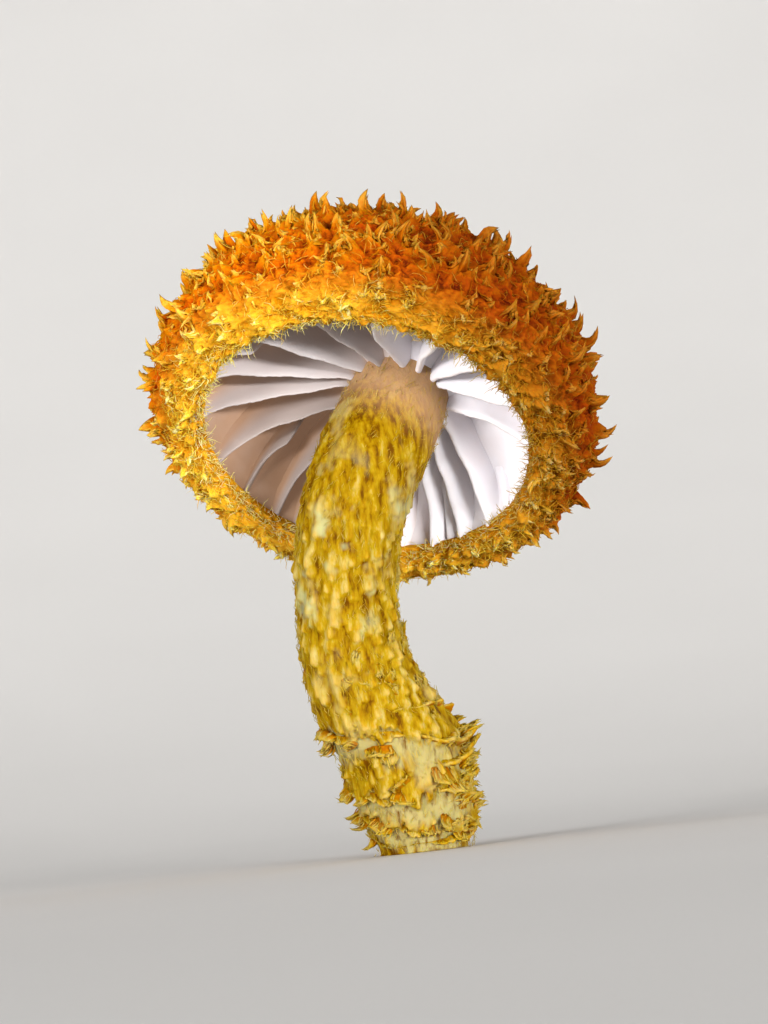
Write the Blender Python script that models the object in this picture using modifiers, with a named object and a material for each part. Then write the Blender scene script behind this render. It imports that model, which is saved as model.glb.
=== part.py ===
"""Golden-scruffy collybia, a small wild mushroom, standing on the flat cut at the foot of its stem.

Three pieces: the spiny cap, the gills under it and the curved scaly stem.
The origin is the centre of the cut, +Z is up, and the cap leans towards +Y and a little to +X.
"""

import math
import random

import bmesh
import bpy
import numpy as np
from mathutils import Matrix, Vector

MM = 0.001

# Cap, in its own frame: the origin is the centre of its widest circle and +Z its axis
CAP_CENTRE = Vector((-0.10, -0.40, 14.20)) * MM
CAP_AXIS = Vector((0.236, 0.592, 0.771)).normalized()
CAP_RADIUS = 7.05 * MM
CAP_RISE = 5.1 * MM
MARGIN_RADIUS = 5.6 * MM
MARGIN_DROP = 1.65 * MM
CELLS_PER_SIDE = 8
CELL_JITTER = 0.06
NARROWEST_CELL = 0.55 * MM
SPINE_LENGTH = 0.62 * MM
SPINE_LENGTH_SPREAD = 0.3
SPINE_FOOT_INSET = 0.33 * MM
SPINE_FOOT_LIFT = 0.10 * MM
SPINE_BEND = 0.28 * MM
MARGIN_SLOPE = -0.45
MARGIN_SPINE_SHARE = 0.55

# Hollow under the cap
HOLLOW_RADIUS = 5.8 * MM
HOLLOW_RISE = 3.2 * MM
HOLLOW_WIDEST = -0.2 * MM
OPENING_RADIUS = 5.25 * MM
OPENING_HEIGHT = -1.15 * MM
HOLLOW_SIDES = 24

# Gills
GAP = 0.3 * MM
LINING = 0.34 * MM
LINING_FOOT = -0.85 * MM
LINING_SIDES = 20
GILL_COUNT = 16
GILL_THICKNESS = 0.30 * MM
GILL_STEM_RADIUS = 1.75 * MM
SHORT_GILL_START = 0.52
GILL_OUTER_RADIUS = 5.22 * MM
GILL_EDGE_HEIGHT = 1.2 * MM
SHORT_GILL_EDGE_LIFT = 0.5 * MM
GILL_FOOT = -1.05 * MM
GILL_WAVE = 0.16 * MM

# Stem: centre line (x, y, z) and radius in millimetres, foot to top
STEM_LINE = (
    (-0.05, 0.05, -0.40, 1.46),
    (-0.05, -0.20, 0.99, 1.66),
    (-0.22, -0.55, 2.28, 1.86),
    (-0.55, -0.90, 3.52, 1.92),
    (-1.20, -1.25, 4.93, 1.78),
    (-1.54, -1.50, 6.22, 1.67),
    (-1.61, -1.72, 7.79, 1.58),
    (-1.44, -1.80, 9.35, 1.60),
    (-1.08, -1.72, 10.85, 1.63),
    (-0.55, -1.45, 12.10, 1.66),
    (0.05, -1.00, 13.20, 1.68),
    (0.50, -0.50, 13.98, 1.66),
    (0.80, 0.05, 14.66, 1.62),
    (1.06, 0.66, 15.48, 1.58),
)
STEM_RINGS = 34
STEM_SIDES_SETTING = 6
SURFACE_JITTER = 0.09 * MM
SCALE_TOP = 10.5 * MM
SCALE_LENGTH = 0.55 * MM
SCALE_SHARE = 0.45
SCALE_INSET = 0.05 * MM

SEED = 7
MERGE = 1e-8


def clear_scene():
    """Removes the objects that the file opens with."""
    for thing in list(bpy.data.objects):
        bpy.data.objects.remove(thing)


def collection(name):
    """A new collection in the scene."""
    made = bpy.data.collections.new(name)
    bpy.context.scene.collection.children.link(made)
    return made


def material(name, colour, roughness):
    """A plain Principled material."""
    made = bpy.data.materials.new(name)
    made.use_nodes = True
    shader = made.node_tree.nodes["Principled BSDF"]
    shader.inputs["Base Color"].default_value = (*colour, 1.0)
    shader.inputs["Roughness"].default_value = roughness
    shader.inputs["Metallic"].default_value = 0.0
    return made


def mesh_object(name, mesh, group, frame):
    """An object of that mesh, placed by frame."""
    made = bpy.data.objects.new(name, mesh)
    group.objects.link(made)
    made.matrix_world = frame
    return made


def finished(bm, name):
    """The bmesh as a mesh, welded, with its faces pointing out."""
    bmesh.ops.remove_doubles(bm, verts=bm.verts[:], dist=MERGE)
    bmesh.ops.recalc_face_normals(bm, faces=bm.faces[:])
    mesh = bpy.data.meshes.new(name)
    bm.to_mesh(mesh)
    bm.free()
    return mesh


def evaluated(obj):
    """A mesh of what the object's modifiers or curve settings make."""
    bpy.context.view_layer.update()
    graph = bpy.context.evaluated_depsgraph_get()
    return bpy.data.meshes.new_from_object(obj.evaluated_get(graph))


def turned(name, profile, steps, group, frame):
    """A closed solid turned about its Z axis from (radius, height) points, top to bottom, with a Screw."""
    mesh = bpy.data.meshes.new(name)
    points = [(radius, 0.0, height) for radius, height in profile]
    mesh.from_pydata(points, [(i, i + 1) for i in range(len(points) - 1)], [])
    made = mesh_object(name, mesh, group, frame)
    screw = made.modifiers.new("turn", "SCREW")
    screw.steps = screw.render_steps = steps
    screw.use_merge_vertices = True
    screw.merge_threshold = MERGE
    bm = bmesh.new()
    bm.from_mesh(evaluated(made))
    made.modifiers.remove(screw)
    made.data = finished(bm, name)
    return made


def as_cutter(obj):
    """Marks an object as a tool that isn't part of the mushroom."""
    obj.hide_render = True
    obj.display_type = "WIRE"
    return obj


def combine(target, tool, operation):
    """Applies a Boolean of tool to target."""
    step = target.modifiers.new(operation.lower(), "BOOLEAN")
    step.operation = operation
    step.object = tool
    mesh = evaluated(target)
    target.modifiers.remove(step)
    target.data = mesh
    as_cutter(tool)


def cap_frame():
    """Placement of the cap's own frame in the mushroom's."""
    turn = Vector((0, 0, 1)).rotation_difference(CAP_AXIS)
    return Matrix.Translation(CAP_CENTRE) @ turn.to_matrix().to_4x4()


def skin_profile(count=60):
    """Outer (radius, height) points of the cap: half a spheroid, the rolled margin, and a flat underside."""
    quarter = np.linspace(0, math.pi / 2, count)
    dome = np.stack([CAP_RADIUS * np.sin(quarter), CAP_RISE * np.cos(quarter)], 1)
    roll = np.stack(
        [
            MARGIN_RADIUS + (CAP_RADIUS - MARGIN_RADIUS) * np.cos(quarter),
            -MARGIN_DROP * np.sin(quarter),
        ],
        1,
    )
    return np.concatenate([dome, roll[1:], [(0.0, -MARGIN_DROP)]])


def skin_table():
    """The skin's profile against the share of its area above each point, so that cells on it come out even."""
    profile = skin_profile()
    steps = np.linalg.norm(np.diff(profile, axis=0), axis=1)
    bands = steps * (profile[1:, 0] + profile[:-1, 0])
    share = np.concatenate([[0.0], np.cumsum(bands)]) / bands.sum()
    return share, profile


def skin_point(direction, table):
    """The point of the skin that a unit direction is spread to, area for area."""
    share, profile = table
    above = (1.0 - direction.z) / 2.0
    radius = float(np.interp(above, share, profile[:, 0]))
    height = float(np.interp(above, share, profile[:, 1]))
    bearing = math.atan2(direction.y, direction.x)
    return Vector((radius * math.cos(bearing), radius * math.sin(bearing), height))


def raise_spines(bm, faces, rng):
    """Insets each face to a foot, draws the foot up to a point and bends the point towards the cap's top.

    The spines on the rolled margin are shorter than those above it.
    """
    bmesh.ops.inset_individual(
        bm, faces=faces, thickness=SPINE_FOOT_INSET, depth=SPINE_FOOT_LIFT, use_even_offset=False
    )
    normals = {face: face.normal.copy() for face in faces}
    for face, normal in normals.items():
        length = SPINE_LENGTH * rng.uniform(1 - SPINE_LENGTH_SPREAD, 1 + SPINE_LENGTH_SPREAD)
        length *= 1.0 if normal.z > MARGIN_SLOPE else MARGIN_SPINE_SHARE
        upward = Vector((0, 0, 1)) - normal * normal.z
        sideways = normal.cross(upward)
        bend = upward * rng.uniform(0.1, 1.0) + sideways * rng.uniform(-0.8, 0.8)
        tip = bmesh.ops.poke(bm, faces=[face])["verts"][0]
        tip.co += normal * length + bend * SPINE_BEND


def cap_body(group, frame):
    """The cap without its hollow: a cube's even grid spread over the skin, each cell of it raised to a spine."""
    rng = random.Random(SEED)
    table = skin_table()
    bm = bmesh.new()
    bmesh.ops.create_cube(bm, size=2.0)
    bmesh.ops.subdivide_edges(bm, edges=bm.edges[:], cuts=CELLS_PER_SIDE - 1, use_grid_fill=True)
    tip_over = Matrix.Rotation(math.radians(52), 3, "X") @ Matrix.Rotation(math.radians(33), 3, "Z")
    for vert in bm.verts:
        evened = Vector([math.tan(x * math.pi / 4) for x in vert.co])
        shift = Vector([rng.uniform(-CELL_JITTER, CELL_JITTER) for _ in range(3)])
        direction = (tip_over @ evened.normalized() + shift).normalized()
        vert.co = skin_point(direction, table)
    bm.normal_update()
    lowest = -MARGIN_DROP + 0.05 * MM
    spiny = [
        face
        for face in bm.faces
        if face.calc_center_median().z > lowest and face.calc_area() > NARROWEST_CELL**2
    ]
    raise_spines(bm, spiny, rng)
    bmesh.ops.triangulate(bm, faces=bm.faces[:])
    return mesh_object("cap", finished(bm, "cap"), group, frame)


def hollow_profile(inset, steps=6):
    """The hollow's (radius, height) points from the middle of its ceiling out to its widest circle."""
    rise = HOLLOW_RISE - inset
    reach = HOLLOW_RADIUS - inset
    points = []
    for i in range(steps + 1):
        angle = math.pi / 2 * i / steps
        radius = reach * math.sin(angle) ** 0.85
        points.append((radius, HOLLOW_WIDEST + rise * math.cos(angle) ** 0.85))
    return points


def hollow_cutter(group, frame):
    """What is taken out of the cap: the hollow, its narrower opening and the flare of the rolled margin."""
    below = -MARGIN_DROP - 0.6 * MM
    profile = hollow_profile(0.0) + [
        (OPENING_RADIUS, OPENING_HEIGHT),
        (OPENING_RADIUS + 0.1 * MM, OPENING_HEIGHT - 0.28 * MM),
        (OPENING_RADIUS + 0.6 * MM, below),
        (0.0, below),
    ]
    return as_cutter(turned("hollow", profile, HOLLOW_SIDES, group, frame))


def gill_lining(group, frame):
    """The thin layer under the cap's flesh that the gills hang from."""
    outer = hollow_profile(GAP) + [(OPENING_RADIUS - 0.1 * MM, LINING_FOOT)]
    inner = hollow_profile(GAP + LINING) + [(OPENING_RADIUS - 0.1 * MM - LINING, LINING_FOOT)]
    return turned("gills", outer + inner[::-1], LINING_SIDES, group, frame)


def edge_height(radius, lift):
    """Height of a gill's free edge at that radius: level near the stem, then an arc down to the margin."""
    along = min(radius / GILL_OUTER_RADIUS, 1.0)
    drop = (GILL_EDGE_HEIGHT + lift - GILL_FOOT) * (1 - math.sqrt(1 - along**3.4))
    return GILL_EDGE_HEIGHT + lift - drop


def root_height(radius):
    """Height of a gill's root at that radius, halfway through the lining."""
    depth = GAP + LINING / 2
    reach = HOLLOW_RADIUS - depth
    angle = math.asin(min(radius / reach, 1.0) ** (1 / 0.85))
    return HOLLOW_WIDEST + (HOLLOW_RISE - depth) * math.cos(angle) ** 0.85


def stem_top_in_cap(frame):
    """Where the stem's centre line meets the cap, across the cap's own frame."""
    top = frame.inverted() @ (Vector(STEM_LINE[-1][:3]) * MM)
    return Vector((top.x, top.y, 0.0))


def gill_plate(bm, hub, bearing, start, lift, phase, columns):
    """Adds one gill: a wavy sheet from the stem to the margin, thickened to a closed plate.

    start is the share of the way from the stem at which the gill begins, and hub is the stem's centre.
    """
    outward = Vector((math.cos(bearing), math.sin(bearing), 0.0))
    inner = hub + outward * GILL_STEM_RADIUS
    outer = outward * (GILL_OUTER_RADIUS - 0.02 * MM)
    across = Vector((0, 0, 1)).cross(outer - inner).normalized()
    faces_before = set(bm.faces)
    grid = bmesh.ops.create_grid(bm, x_segments=columns, y_segments=columns // 2, size=1.0)["verts"]
    for vert in grid:
        along, down = (vert.co.x + 1) / 2, (vert.co.y + 1) / 2
        along = start + (1 - start) * math.sin(along * math.pi / 2)
        spot = inner.lerp(outer, along)
        radius = spot.length
        height = root_height(radius) * (1 - down) + edge_height(radius, lift) * down
        wave = GILL_WAVE * math.sin(phase + 5.5 * along) * (0.2 + 0.8 * along) * (0.4 + 0.6 * down)
        vert.co = spot + across * wave + Vector((0, 0, height))
    sheet = [face for face in bm.faces if face not in faces_before]
    bmesh.ops.recalc_face_normals(bm, faces=sheet)
    bmesh.ops.solidify(bm, geom=sheet, thickness=GILL_THICKNESS)


def gills(group, tools, frame, stem):
    """Sixteen full gills and as many short ones, joined to the lining and cut clear of the stem."""
    rng = random.Random(SEED)
    made = gill_lining(group, frame)
    hub = stem_top_in_cap(frame)
    bm = bmesh.new()
    pitch = 2 * math.pi / GILL_COUNT
    for i in range(GILL_COUNT):
        phase = rng.uniform(0, 2 * math.pi)
        gill_plate(bm, hub, i * pitch, 0.0, 0.0, phase, 5)
        gill_plate(bm, hub, (i + 0.5) * pitch, SHORT_GILL_START, SHORT_GILL_EDGE_LIFT, phase, 2)
    plates = mesh_object("gill_plates", finished(bm, "gill_plates"), tools, frame)
    combine(made, plates, "UNION")
    combine(made, stem_room(tools, stem), "DIFFERENCE")
    return made


def smooth_line(points, count):
    """Evenly spaced points on a Catmull-Rom curve through the given ones."""
    given = np.array(points, float)
    ends = np.concatenate([[2 * given[0] - given[1]], given, [2 * given[-1] - given[-2]]])
    fine = []
    for i in range(len(given) - 1):
        a, b, c, d = ends[i : i + 4]
        for t in np.linspace(0, 1, 20, endpoint=False):
            fine.append(
                0.5 * (2 * b + (c - a) * t + (2 * a - 5 * b + 4 * c - d) * t**2 + (3 * b - a - 3 * c + d) * t**3)
            )
    fine.append(given[-1])
    fine = np.array(fine)
    steps = np.linalg.norm(np.diff(fine[:, :3], axis=0), axis=1)
    travelled = np.concatenate([[0.0], np.cumsum(steps)])
    wanted = np.linspace(0, travelled[-1], count)
    return np.stack([np.interp(wanted, travelled, fine[:, k]) for k in range(fine.shape[1])], 1)


def stem_tube(name, rings, extra, group):
    """The stem as a capped tube that follows its line, extra wider all round."""
    curve = bpy.data.curves.new(name, "CURVE")
    curve.dimensions = "3D"
    curve.bevel_depth = MM
    curve.bevel_resolution = STEM_SIDES_SETTING
    curve.use_fill_caps = True
    spline = curve.splines.new("POLY")
    line = smooth_line(STEM_LINE, rings)
    spline.points.add(len(line) - 1)
    for point, (x, y, z, radius) in zip(spline.points, line):
        point.co = (x * MM, y * MM, z * MM, 1.0)
        point.radius = radius + extra / MM
    guide = bpy.data.objects.new(name, curve)
    group.objects.link(guide)
    bm = bmesh.new()
    bm.from_mesh(evaluated(guide))
    bpy.data.objects.remove(guide)
    return bm


def stem_room(group, stem):
    """A plain tube a gap wider than the stem, which the gills are cut back to."""
    bm = stem_tube("stem_room", 22, GAP, group)
    mesh = finished(bm, "stem_room")
    return mesh_object("stem_room", mesh, group, stem.matrix_world)


def raise_scales(bm, rng):
    """Draws a share of the faces on the lower stem out into pointed scales, longest near the foot."""
    picked = []
    for face in bm.faces:
        height = face.calc_center_median().z
        share = SCALE_SHARE * (1 - height / SCALE_TOP)
        if len(face.verts) == 4 and 0.3 * MM < height < SCALE_TOP and rng.random() < share + 0.12:
            picked.append(face)
    bm.normal_update()
    bmesh.ops.inset_individual(bm, faces=picked, thickness=SCALE_INSET, depth=0.0)
    for face in picked:
        normal = face.normal.copy()
        strength = 0.45 + 0.55 * (1 - face.calc_center_median().z / SCALE_TOP)
        length = SCALE_LENGTH * strength * rng.uniform(0.6, 1.2)
        tip = bmesh.ops.poke(bm, faces=[face])["verts"][0]
        tip.co += normal * length + Vector((0, 0, rng.uniform(-0.25, 0.12))) * MM


def stem_body(group):
    """The scaly stem, cut off flat at the foot."""
    rng = random.Random(SEED)
    bm = stem_tube("stem", STEM_RINGS, 0.0, group)
    bmesh.ops.remove_doubles(bm, verts=bm.verts[:], dist=MERGE)
    cut = bmesh.ops.bisect_plane(
        bm,
        geom=bm.verts[:] + bm.edges[:] + bm.faces[:],
        dist=MERGE,
        plane_co=(0, 0, 0),
        plane_no=(0, 0, 1),
        clear_inner=True,
    )
    rim = [item for item in cut["geom_cut"] if isinstance(item, bmesh.types.BMEdge)]
    bmesh.ops.holes_fill(bm, edges=rim)
    bmesh.ops.recalc_face_normals(bm, faces=bm.faces[:])
    for vert in bm.verts:
        if 0.15 * MM < vert.co.z < SCALE_TOP:
            vert.co += Vector([rng.uniform(-SURFACE_JITTER, SURFACE_JITTER) for _ in range(3)])
    raise_scales(bm, rng)
    bmesh.ops.triangulate(bm, faces=bm.faces[:])
    return mesh_object("stem", finished(bm, "stem"), group, Matrix.Identity(4))


def build():
    """Makes the mushroom's three pieces."""
    clear_scene()
    parts = collection("golden_scruffy_collybia")
    tools = collection("cutters")
    frame = cap_frame()

    stem = stem_body(parts)
    stem.data.materials.append(material("stem_yellow", (0.86, 0.62, 0.09), 0.7))

    cap = cap_body(parts, frame)
    combine(cap, hollow_cutter(tools, frame), "DIFFERENCE")
    cap.data.materials.clear()
    cap.data.materials.append(material("cap_orange", (0.85, 0.33, 0.02), 0.6))

    gill_set = gills(parts, tools, frame, stem)
    gill_set.data.materials.clear()
    gill_set.data.materials.append(material("gill_white", (0.88, 0.84, 0.8), 0.55))


build()
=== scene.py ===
"""Golden-scruffy collybia: the looks of one small wild mushroom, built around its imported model.

Lengths here are millimetres until a mesh is made. The cap has a frame of its own, with its origin at the
centre of its widest circle and +Z along its axis. The mushroom's frame is the model's: the origin is the
centre of the cut at the foot and +Z is up.
"""

import logging
import math
from dataclasses import dataclass, field
from enum import Enum
from itertools import combinations

import bpy
import numpy as np
from mathutils import Matrix, Vector

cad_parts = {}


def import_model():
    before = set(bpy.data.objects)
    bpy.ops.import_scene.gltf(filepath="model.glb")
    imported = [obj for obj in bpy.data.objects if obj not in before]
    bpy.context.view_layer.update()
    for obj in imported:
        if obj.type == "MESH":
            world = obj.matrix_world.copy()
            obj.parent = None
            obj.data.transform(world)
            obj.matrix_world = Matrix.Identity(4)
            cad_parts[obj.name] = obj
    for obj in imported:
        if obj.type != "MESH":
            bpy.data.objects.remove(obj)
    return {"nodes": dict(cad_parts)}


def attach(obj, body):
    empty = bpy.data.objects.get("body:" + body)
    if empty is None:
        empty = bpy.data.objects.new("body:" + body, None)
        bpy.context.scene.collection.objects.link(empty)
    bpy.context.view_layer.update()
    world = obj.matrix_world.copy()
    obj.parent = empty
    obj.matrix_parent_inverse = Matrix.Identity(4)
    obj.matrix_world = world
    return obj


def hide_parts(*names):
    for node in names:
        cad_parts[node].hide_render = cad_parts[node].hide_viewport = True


LOG = logging.getLogger("collybia")
MM = 0.001
Array = np.ndarray
Pair = tuple[float, float]
Triple = tuple[float, float, float]
Socket = bpy.types.NodeSocket
Material = bpy.types.Material
Piece = bpy.types.Object

NO_TRIANGLES = np.empty((0, 3), int)
BLACK = (0.0, 0.0, 0.0)
TURN = 2 * math.pi
SHORTEST = 1e-12
EASE_SHARPNESS = 6
HASH_PRIMES = (73856093, 19349663, 83492791, 26544357)
HASH_MIXERS = ((13, 1274126177), (16, 668265263))
HASH_LAST_SHIFT = 15
HASH_MASK = 0xFFFFFFFF
LAYER_SHIFT = 17.3
CURVE_STEPS = 24
STRAND_SIDES = 3
UNEVEN_WIDTH = (0.6, 1.4)
EVEN_SPREAD = 0.618034


class Scatter(Enum):
    """Seeds of the random draws, one for each thing that is strewn."""

    CAP_TUFTS = 11
    CAP_SPINES = 12
    CAP_STRANDS = 13
    CAP_FUZZ = 14
    MARGIN_WOOL = 15
    GILLS = 16
    STEM_SKIN = 17
    STEM_SCALES = 18
    STEM_FUZZ = 19
    CAP_SKIN = 20
    CAP_PRONGS = 21
    SCALE_FRAY = 22
    STEM_TUFTS = 23
    RUFFS = 24

    def draw(self) -> np.random.Generator:
        """A fresh generator for this thing, the same on each run."""
        return np.random.default_rng(self.value)


def unit(vectors: Array) -> Array:
    """Vectors scaled to length one along their last axis."""
    return vectors / np.maximum(np.linalg.norm(vectors, axis=-1, keepdims=True), SHORTEST)


def smooth(x: Array) -> Array:
    """The cubic ease 3x^2 - 2x^3, with x held between 0 and 1."""
    x = np.clip(x, 0.0, 1.0)
    return x * x * (3.0 - 2.0 * x)


def lowered_least(*heights: Array) -> Array:
    """The least of several heights, in millimetres, eased where they cross."""
    return -np.log(sum(np.exp(-EASE_SHARPNESS * height) for height in heights)) / EASE_SHARPNESS


def lattice_values(cell: Array, seed: int) -> Array:
    """Hashes whole-number lattice points to values between -1 and 1.

    Args:
        cell: Whole-number points, shape (..., 3).
        seed: Picks one of many unrelated patterns.

    Returns:
        One value for each point.
    """
    x, y, z = (cell[..., k] * HASH_PRIMES[k] for k in range(3))
    code = (x ^ y ^ z ^ (seed * HASH_PRIMES[3])) & HASH_MASK
    for shift, mixer in HASH_MIXERS:
        code = ((code ^ (code >> shift)) * mixer) & HASH_MASK
    return (code ^ (code >> HASH_LAST_SHIFT)) / (HASH_MASK / 2.0) - 1.0


def value_noise(points: Array, seed: int) -> Array:
    """Smooth noise: lattice values blended by a quintic ease in all three directions.

    Args:
        points: Points, shape (n, 3), with one lattice cell to each unit.
        seed: Picks the pattern.

    Returns:
        Values between -1 and 1, shape (n,).
    """
    low = np.floor(points).astype(np.int64)
    part = points - low
    ease = part**3 * (part * (part * 6.0 - 15.0) + 10.0)
    total = np.zeros(len(points))
    for corner in range(8):
        step = np.array([corner & 1, (corner >> 1) & 1, corner >> 2])
        weight = np.prod(np.where(step == 1, ease, 1.0 - ease), axis=1)
        total += weight * lattice_values(low + step, seed)
    return total


def layered_noise(points: Array, seed: int, layers: int = 3) -> Array:
    """Sums layers of smooth noise, each twice as fine and half as strong as the last.

    Args:
        points: Points, shape (n, 3).
        seed: Picks the pattern.
        layers: How many layers.

    Returns:
        Values of about -1 to 1, shape (n,).
    """
    total = np.zeros(len(points))
    for layer in range(layers):
        total += value_noise(points * 2.0**layer + LAYER_SHIFT * layer, seed + layer) * 0.5**layer
    return total / (2.0 - 2.0 ** (1 - layers))


def through(points: Array, steps: int) -> Array:
    """Points on smooth curves through rows of control points, each span a uniform Catmull-Rom cubic.

    Args:
        points: Control points, shape (curves, controls, columns).
        steps: How many points to return on each curve.

    Returns:
        Points, shape (curves, steps, columns).
    """
    before, after = 2 * points[:, :1] - points[:, 1:2], 2 * points[:, -1:] - points[:, -2:-1]
    ends = np.concatenate([before, points, after], axis=1)
    where = np.linspace(0, points.shape[1] - 1, steps)
    low = np.minimum(where.astype(int), points.shape[1] - 2)
    t = (where - low)[None, :, None]
    a, b, c, d = (ends[:, low + i] for i in range(4))
    return 0.5 * (2 * b + (c - a) * t + (2 * a - 5 * b + 4 * c - d) * t**2 + (3 * b - a - 3 * c + d) * t**3)


def distances_along(points: Array) -> Array:
    """Distance along a broken line from its start to each of its points."""
    return np.concatenate([[0.0], np.cumsum(np.linalg.norm(np.diff(points, axis=0), axis=1))])


def smooth_line(points: Array, count: int) -> Array:
    """Points evenly spaced on a smooth curve through the given ones.

    Args:
        points: Rows of any width, the first three columns being a place.
        count: How many points to return.

    Returns:
        Rows like the given ones, shape (count, columns).
    """
    fine = through(points[None], CURVE_STEPS * len(points))[0]
    travelled = distances_along(fine[:, :3])
    wanted = np.linspace(0, travelled[-1], count)
    return np.stack([np.interp(wanted, travelled, fine[:, k]) for k in range(points.shape[1])], 1)


def spaced(tries: Array, gap: float, most: int, taken: Array) -> list[int]:
    """Picks points one after another, each clear of all those picked before and of what is taken.

    Args:
        tries: The points to pick from, shape (n, 3).
        gap: Least distance between two points.
        most: How many points to pick at most.
        taken: Points that are there already, shape (m, 3).

    Returns:
        Numbers of the picked points.
    """
    spots, chosen = list(taken), []
    for number, place in enumerate(tries):
        if not spots or np.linalg.norm(np.array(spots) - place, axis=1).min() > gap:
            spots.append(place)
            chosen.append(number)
        if len(chosen) == most:
            break
    return chosen


def strand_widths(rng: np.random.Generator, width: float, share: Array, count: int) -> Array:
    """Half widths of fine fibres, each a little thicker or thinner than the usual one and tapering to half.

    Args:
        rng: The random draws.
        width: The usual half width at a fibre's foot.
        share: Shares of the way along a fibre, shape (1, steps, 1).
        count: How many fibres.

    Returns:
        Half widths, shape (count, steps).
    """
    return width * rng.uniform(*UNEVEN_WIDTH, (count, 1)) * (1 - 0.5 * share[..., 0])


@dataclass
class Surface:
    """Vertices in millimetres, faces of three and four corners, and named values for each vertex."""

    places: Array
    quads: Array
    triangles: Array
    values: dict[str, Array] = field(default_factory=dict)

    @staticmethod
    def joined(parts: list["Surface"]) -> "Surface":
        """One surface of several, whose named values match.

        Args:
            parts: The surfaces.

        Returns:
            All of them, with their faces renumbered.
        """
        starts = np.cumsum([0] + [len(part.places) for part in parts[:-1]])
        return Surface(
            np.concatenate([part.places for part in parts]),
            np.concatenate([part.quads + start for part, start in zip(parts, starts)]),
            np.concatenate([part.triangles + start for part, start in zip(parts, starts)]),
            {name: np.concatenate([part.values[name] for part in parts]) for name in parts[0].values},
        )

    def object(self, name: str, material: Material) -> Piece:
        """Makes the surface a shaded mesh object at the origin.

        Args:
            name: The piece's name.
            material: Its finish.

        Returns:
            The new object, already in the scene.
        """
        mesh = bpy.data.meshes.new(name)
        corners = np.concatenate([self.quads.ravel(), self.triangles.ravel()]).astype(np.int32)
        sizes = np.repeat([4, 3], [len(self.quads), len(self.triangles)])
        starts = (np.cumsum(sizes) - sizes).astype(np.int32)
        mesh.vertices.add(len(self.places))
        mesh.vertices.foreach_set("co", (self.places * MM).astype(np.float32).ravel())
        mesh.loops.add(len(corners))
        mesh.loops.foreach_set("vertex_index", corners)
        mesh.polygons.add(len(starts))
        mesh.polygons.foreach_set("loop_start", starts)
        mesh.update(calc_edges=True)
        mesh.validate()
        mesh.shade_smooth()
        for title, numbers in self.values.items():
            kept = mesh.attributes.new(title, "FLOAT", "POINT")
            kept.data.foreach_set("value", numbers.astype(np.float32))
        mesh.materials.append(material)
        made = bpy.data.objects.new(name, mesh)
        bpy.context.scene.collection.objects.link(made)
        return made


def wrapped_grid(rows: int, columns: int, closed: bool = True) -> Array:
    """Quads of a grid of vertices, numbered row by row, that joins up from its last column to its first.

    Args:
        rows: Rows of vertices.
        columns: Columns of vertices.
        closed: Whether the columns join up.

    Returns:
        Corner numbers, shape (faces, 4).
    """
    row, column = np.meshgrid(np.arange(rows - 1), np.arange(columns - (not closed)), indexing="ij")
    here, after = row * columns, (row + 1) * columns
    ahead = (column + 1) % columns
    return np.stack([here + column, here + ahead, after + ahead, after + column], -1).reshape(-1, 4)


def end_fans(columns: int, rows: int, first: int, before: int, after: int) -> Array:
    """Triangles that close a tube of rings at both ends, each round one point.

    Args:
        columns: Points in each ring.
        rows: Rings.
        first: Number of the first ring's first point.
        before: Number of the point that closes the first ring.
        after: Number of the point that closes the last ring.

    Returns:
        Corner numbers, shape (2 * columns, 3).
    """
    ring = np.arange(columns)
    ahead = (ring + 1) % columns
    last = first + (rows - 1) * columns
    opening = np.stack([np.full(columns, before), first + ahead, first + ring], 1)
    closing = np.stack([np.full(columns, after), last + ring, last + ahead], 1)
    return np.concatenate([opening, closing])


@dataclass
class Swept:
    """Many closed, tapering strands of one pattern, each a ring of points carried along its own path.

    The point of a strand at step i and turn a is path_i + w_i (cos a * side_i + flat * sin a * up_i), where
    side and up are square to the path. Each end is a single point, so every strand is closed.
    """

    paths: Array
    widths: Array
    facing: Array
    sides: int = STRAND_SIDES
    flat: float = 1.0
    flute: float = 0.0
    flutes: int = 3

    def frames(self) -> tuple[Array, Array]:
        """Two unit vectors square to each path: side lies across the facing direction, up towards it."""
        tangent = unit(np.gradient(self.paths, axis=1))
        side = unit(np.cross(tangent, self.facing[:, None, :]))
        return side, np.cross(side, tangent)

    def surface(self, **values: Array) -> Surface:
        """Builds all the strands.

        Args:
            **values: Named values for each path point, shape (strands, steps).

        Returns:
            The strands as one surface.
        """
        count, steps, _ = self.paths.shape
        side, up = self.frames()
        turn = np.linspace(0, TURN, self.sides, endpoint=False)
        fluted = 1.0 + self.flute * np.cos(self.flutes * turn)
        inner = slice(1, -1)
        width = self.widths[:, inner, None, None] * fluted[None, None, :, None]
        ring = self.paths[:, inner, None] + width * (
            np.cos(turn)[None, None, :, None] * side[:, inner, None]
            + self.flat * np.sin(turn)[None, None, :, None] * up[:, inner, None]
        )
        rings = steps - 2
        each = rings * self.sides + 2
        places = [self.paths[:, :1], ring.reshape(count, -1, 3), self.paths[:, -1:]]
        places = np.concatenate(places, axis=1).reshape(-1, 3)
        quads = wrapped_grid(rings, self.sides) + 1
        fans = end_fans(self.sides, rings, 1, 0, each - 1)
        offsets = (np.arange(count) * each)[:, None, None]
        spread = {}
        for name, numbers in values.items():
            middle = np.repeat(numbers[:, inner], self.sides, axis=1)
            spread[name] = np.concatenate([numbers[:, :1], middle, numbers[:, -1:]], axis=1).ravel()
        return Surface(places, (quads + offsets).reshape(-1, 4), (fans + offsets).reshape(-1, 3), spread)


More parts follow.
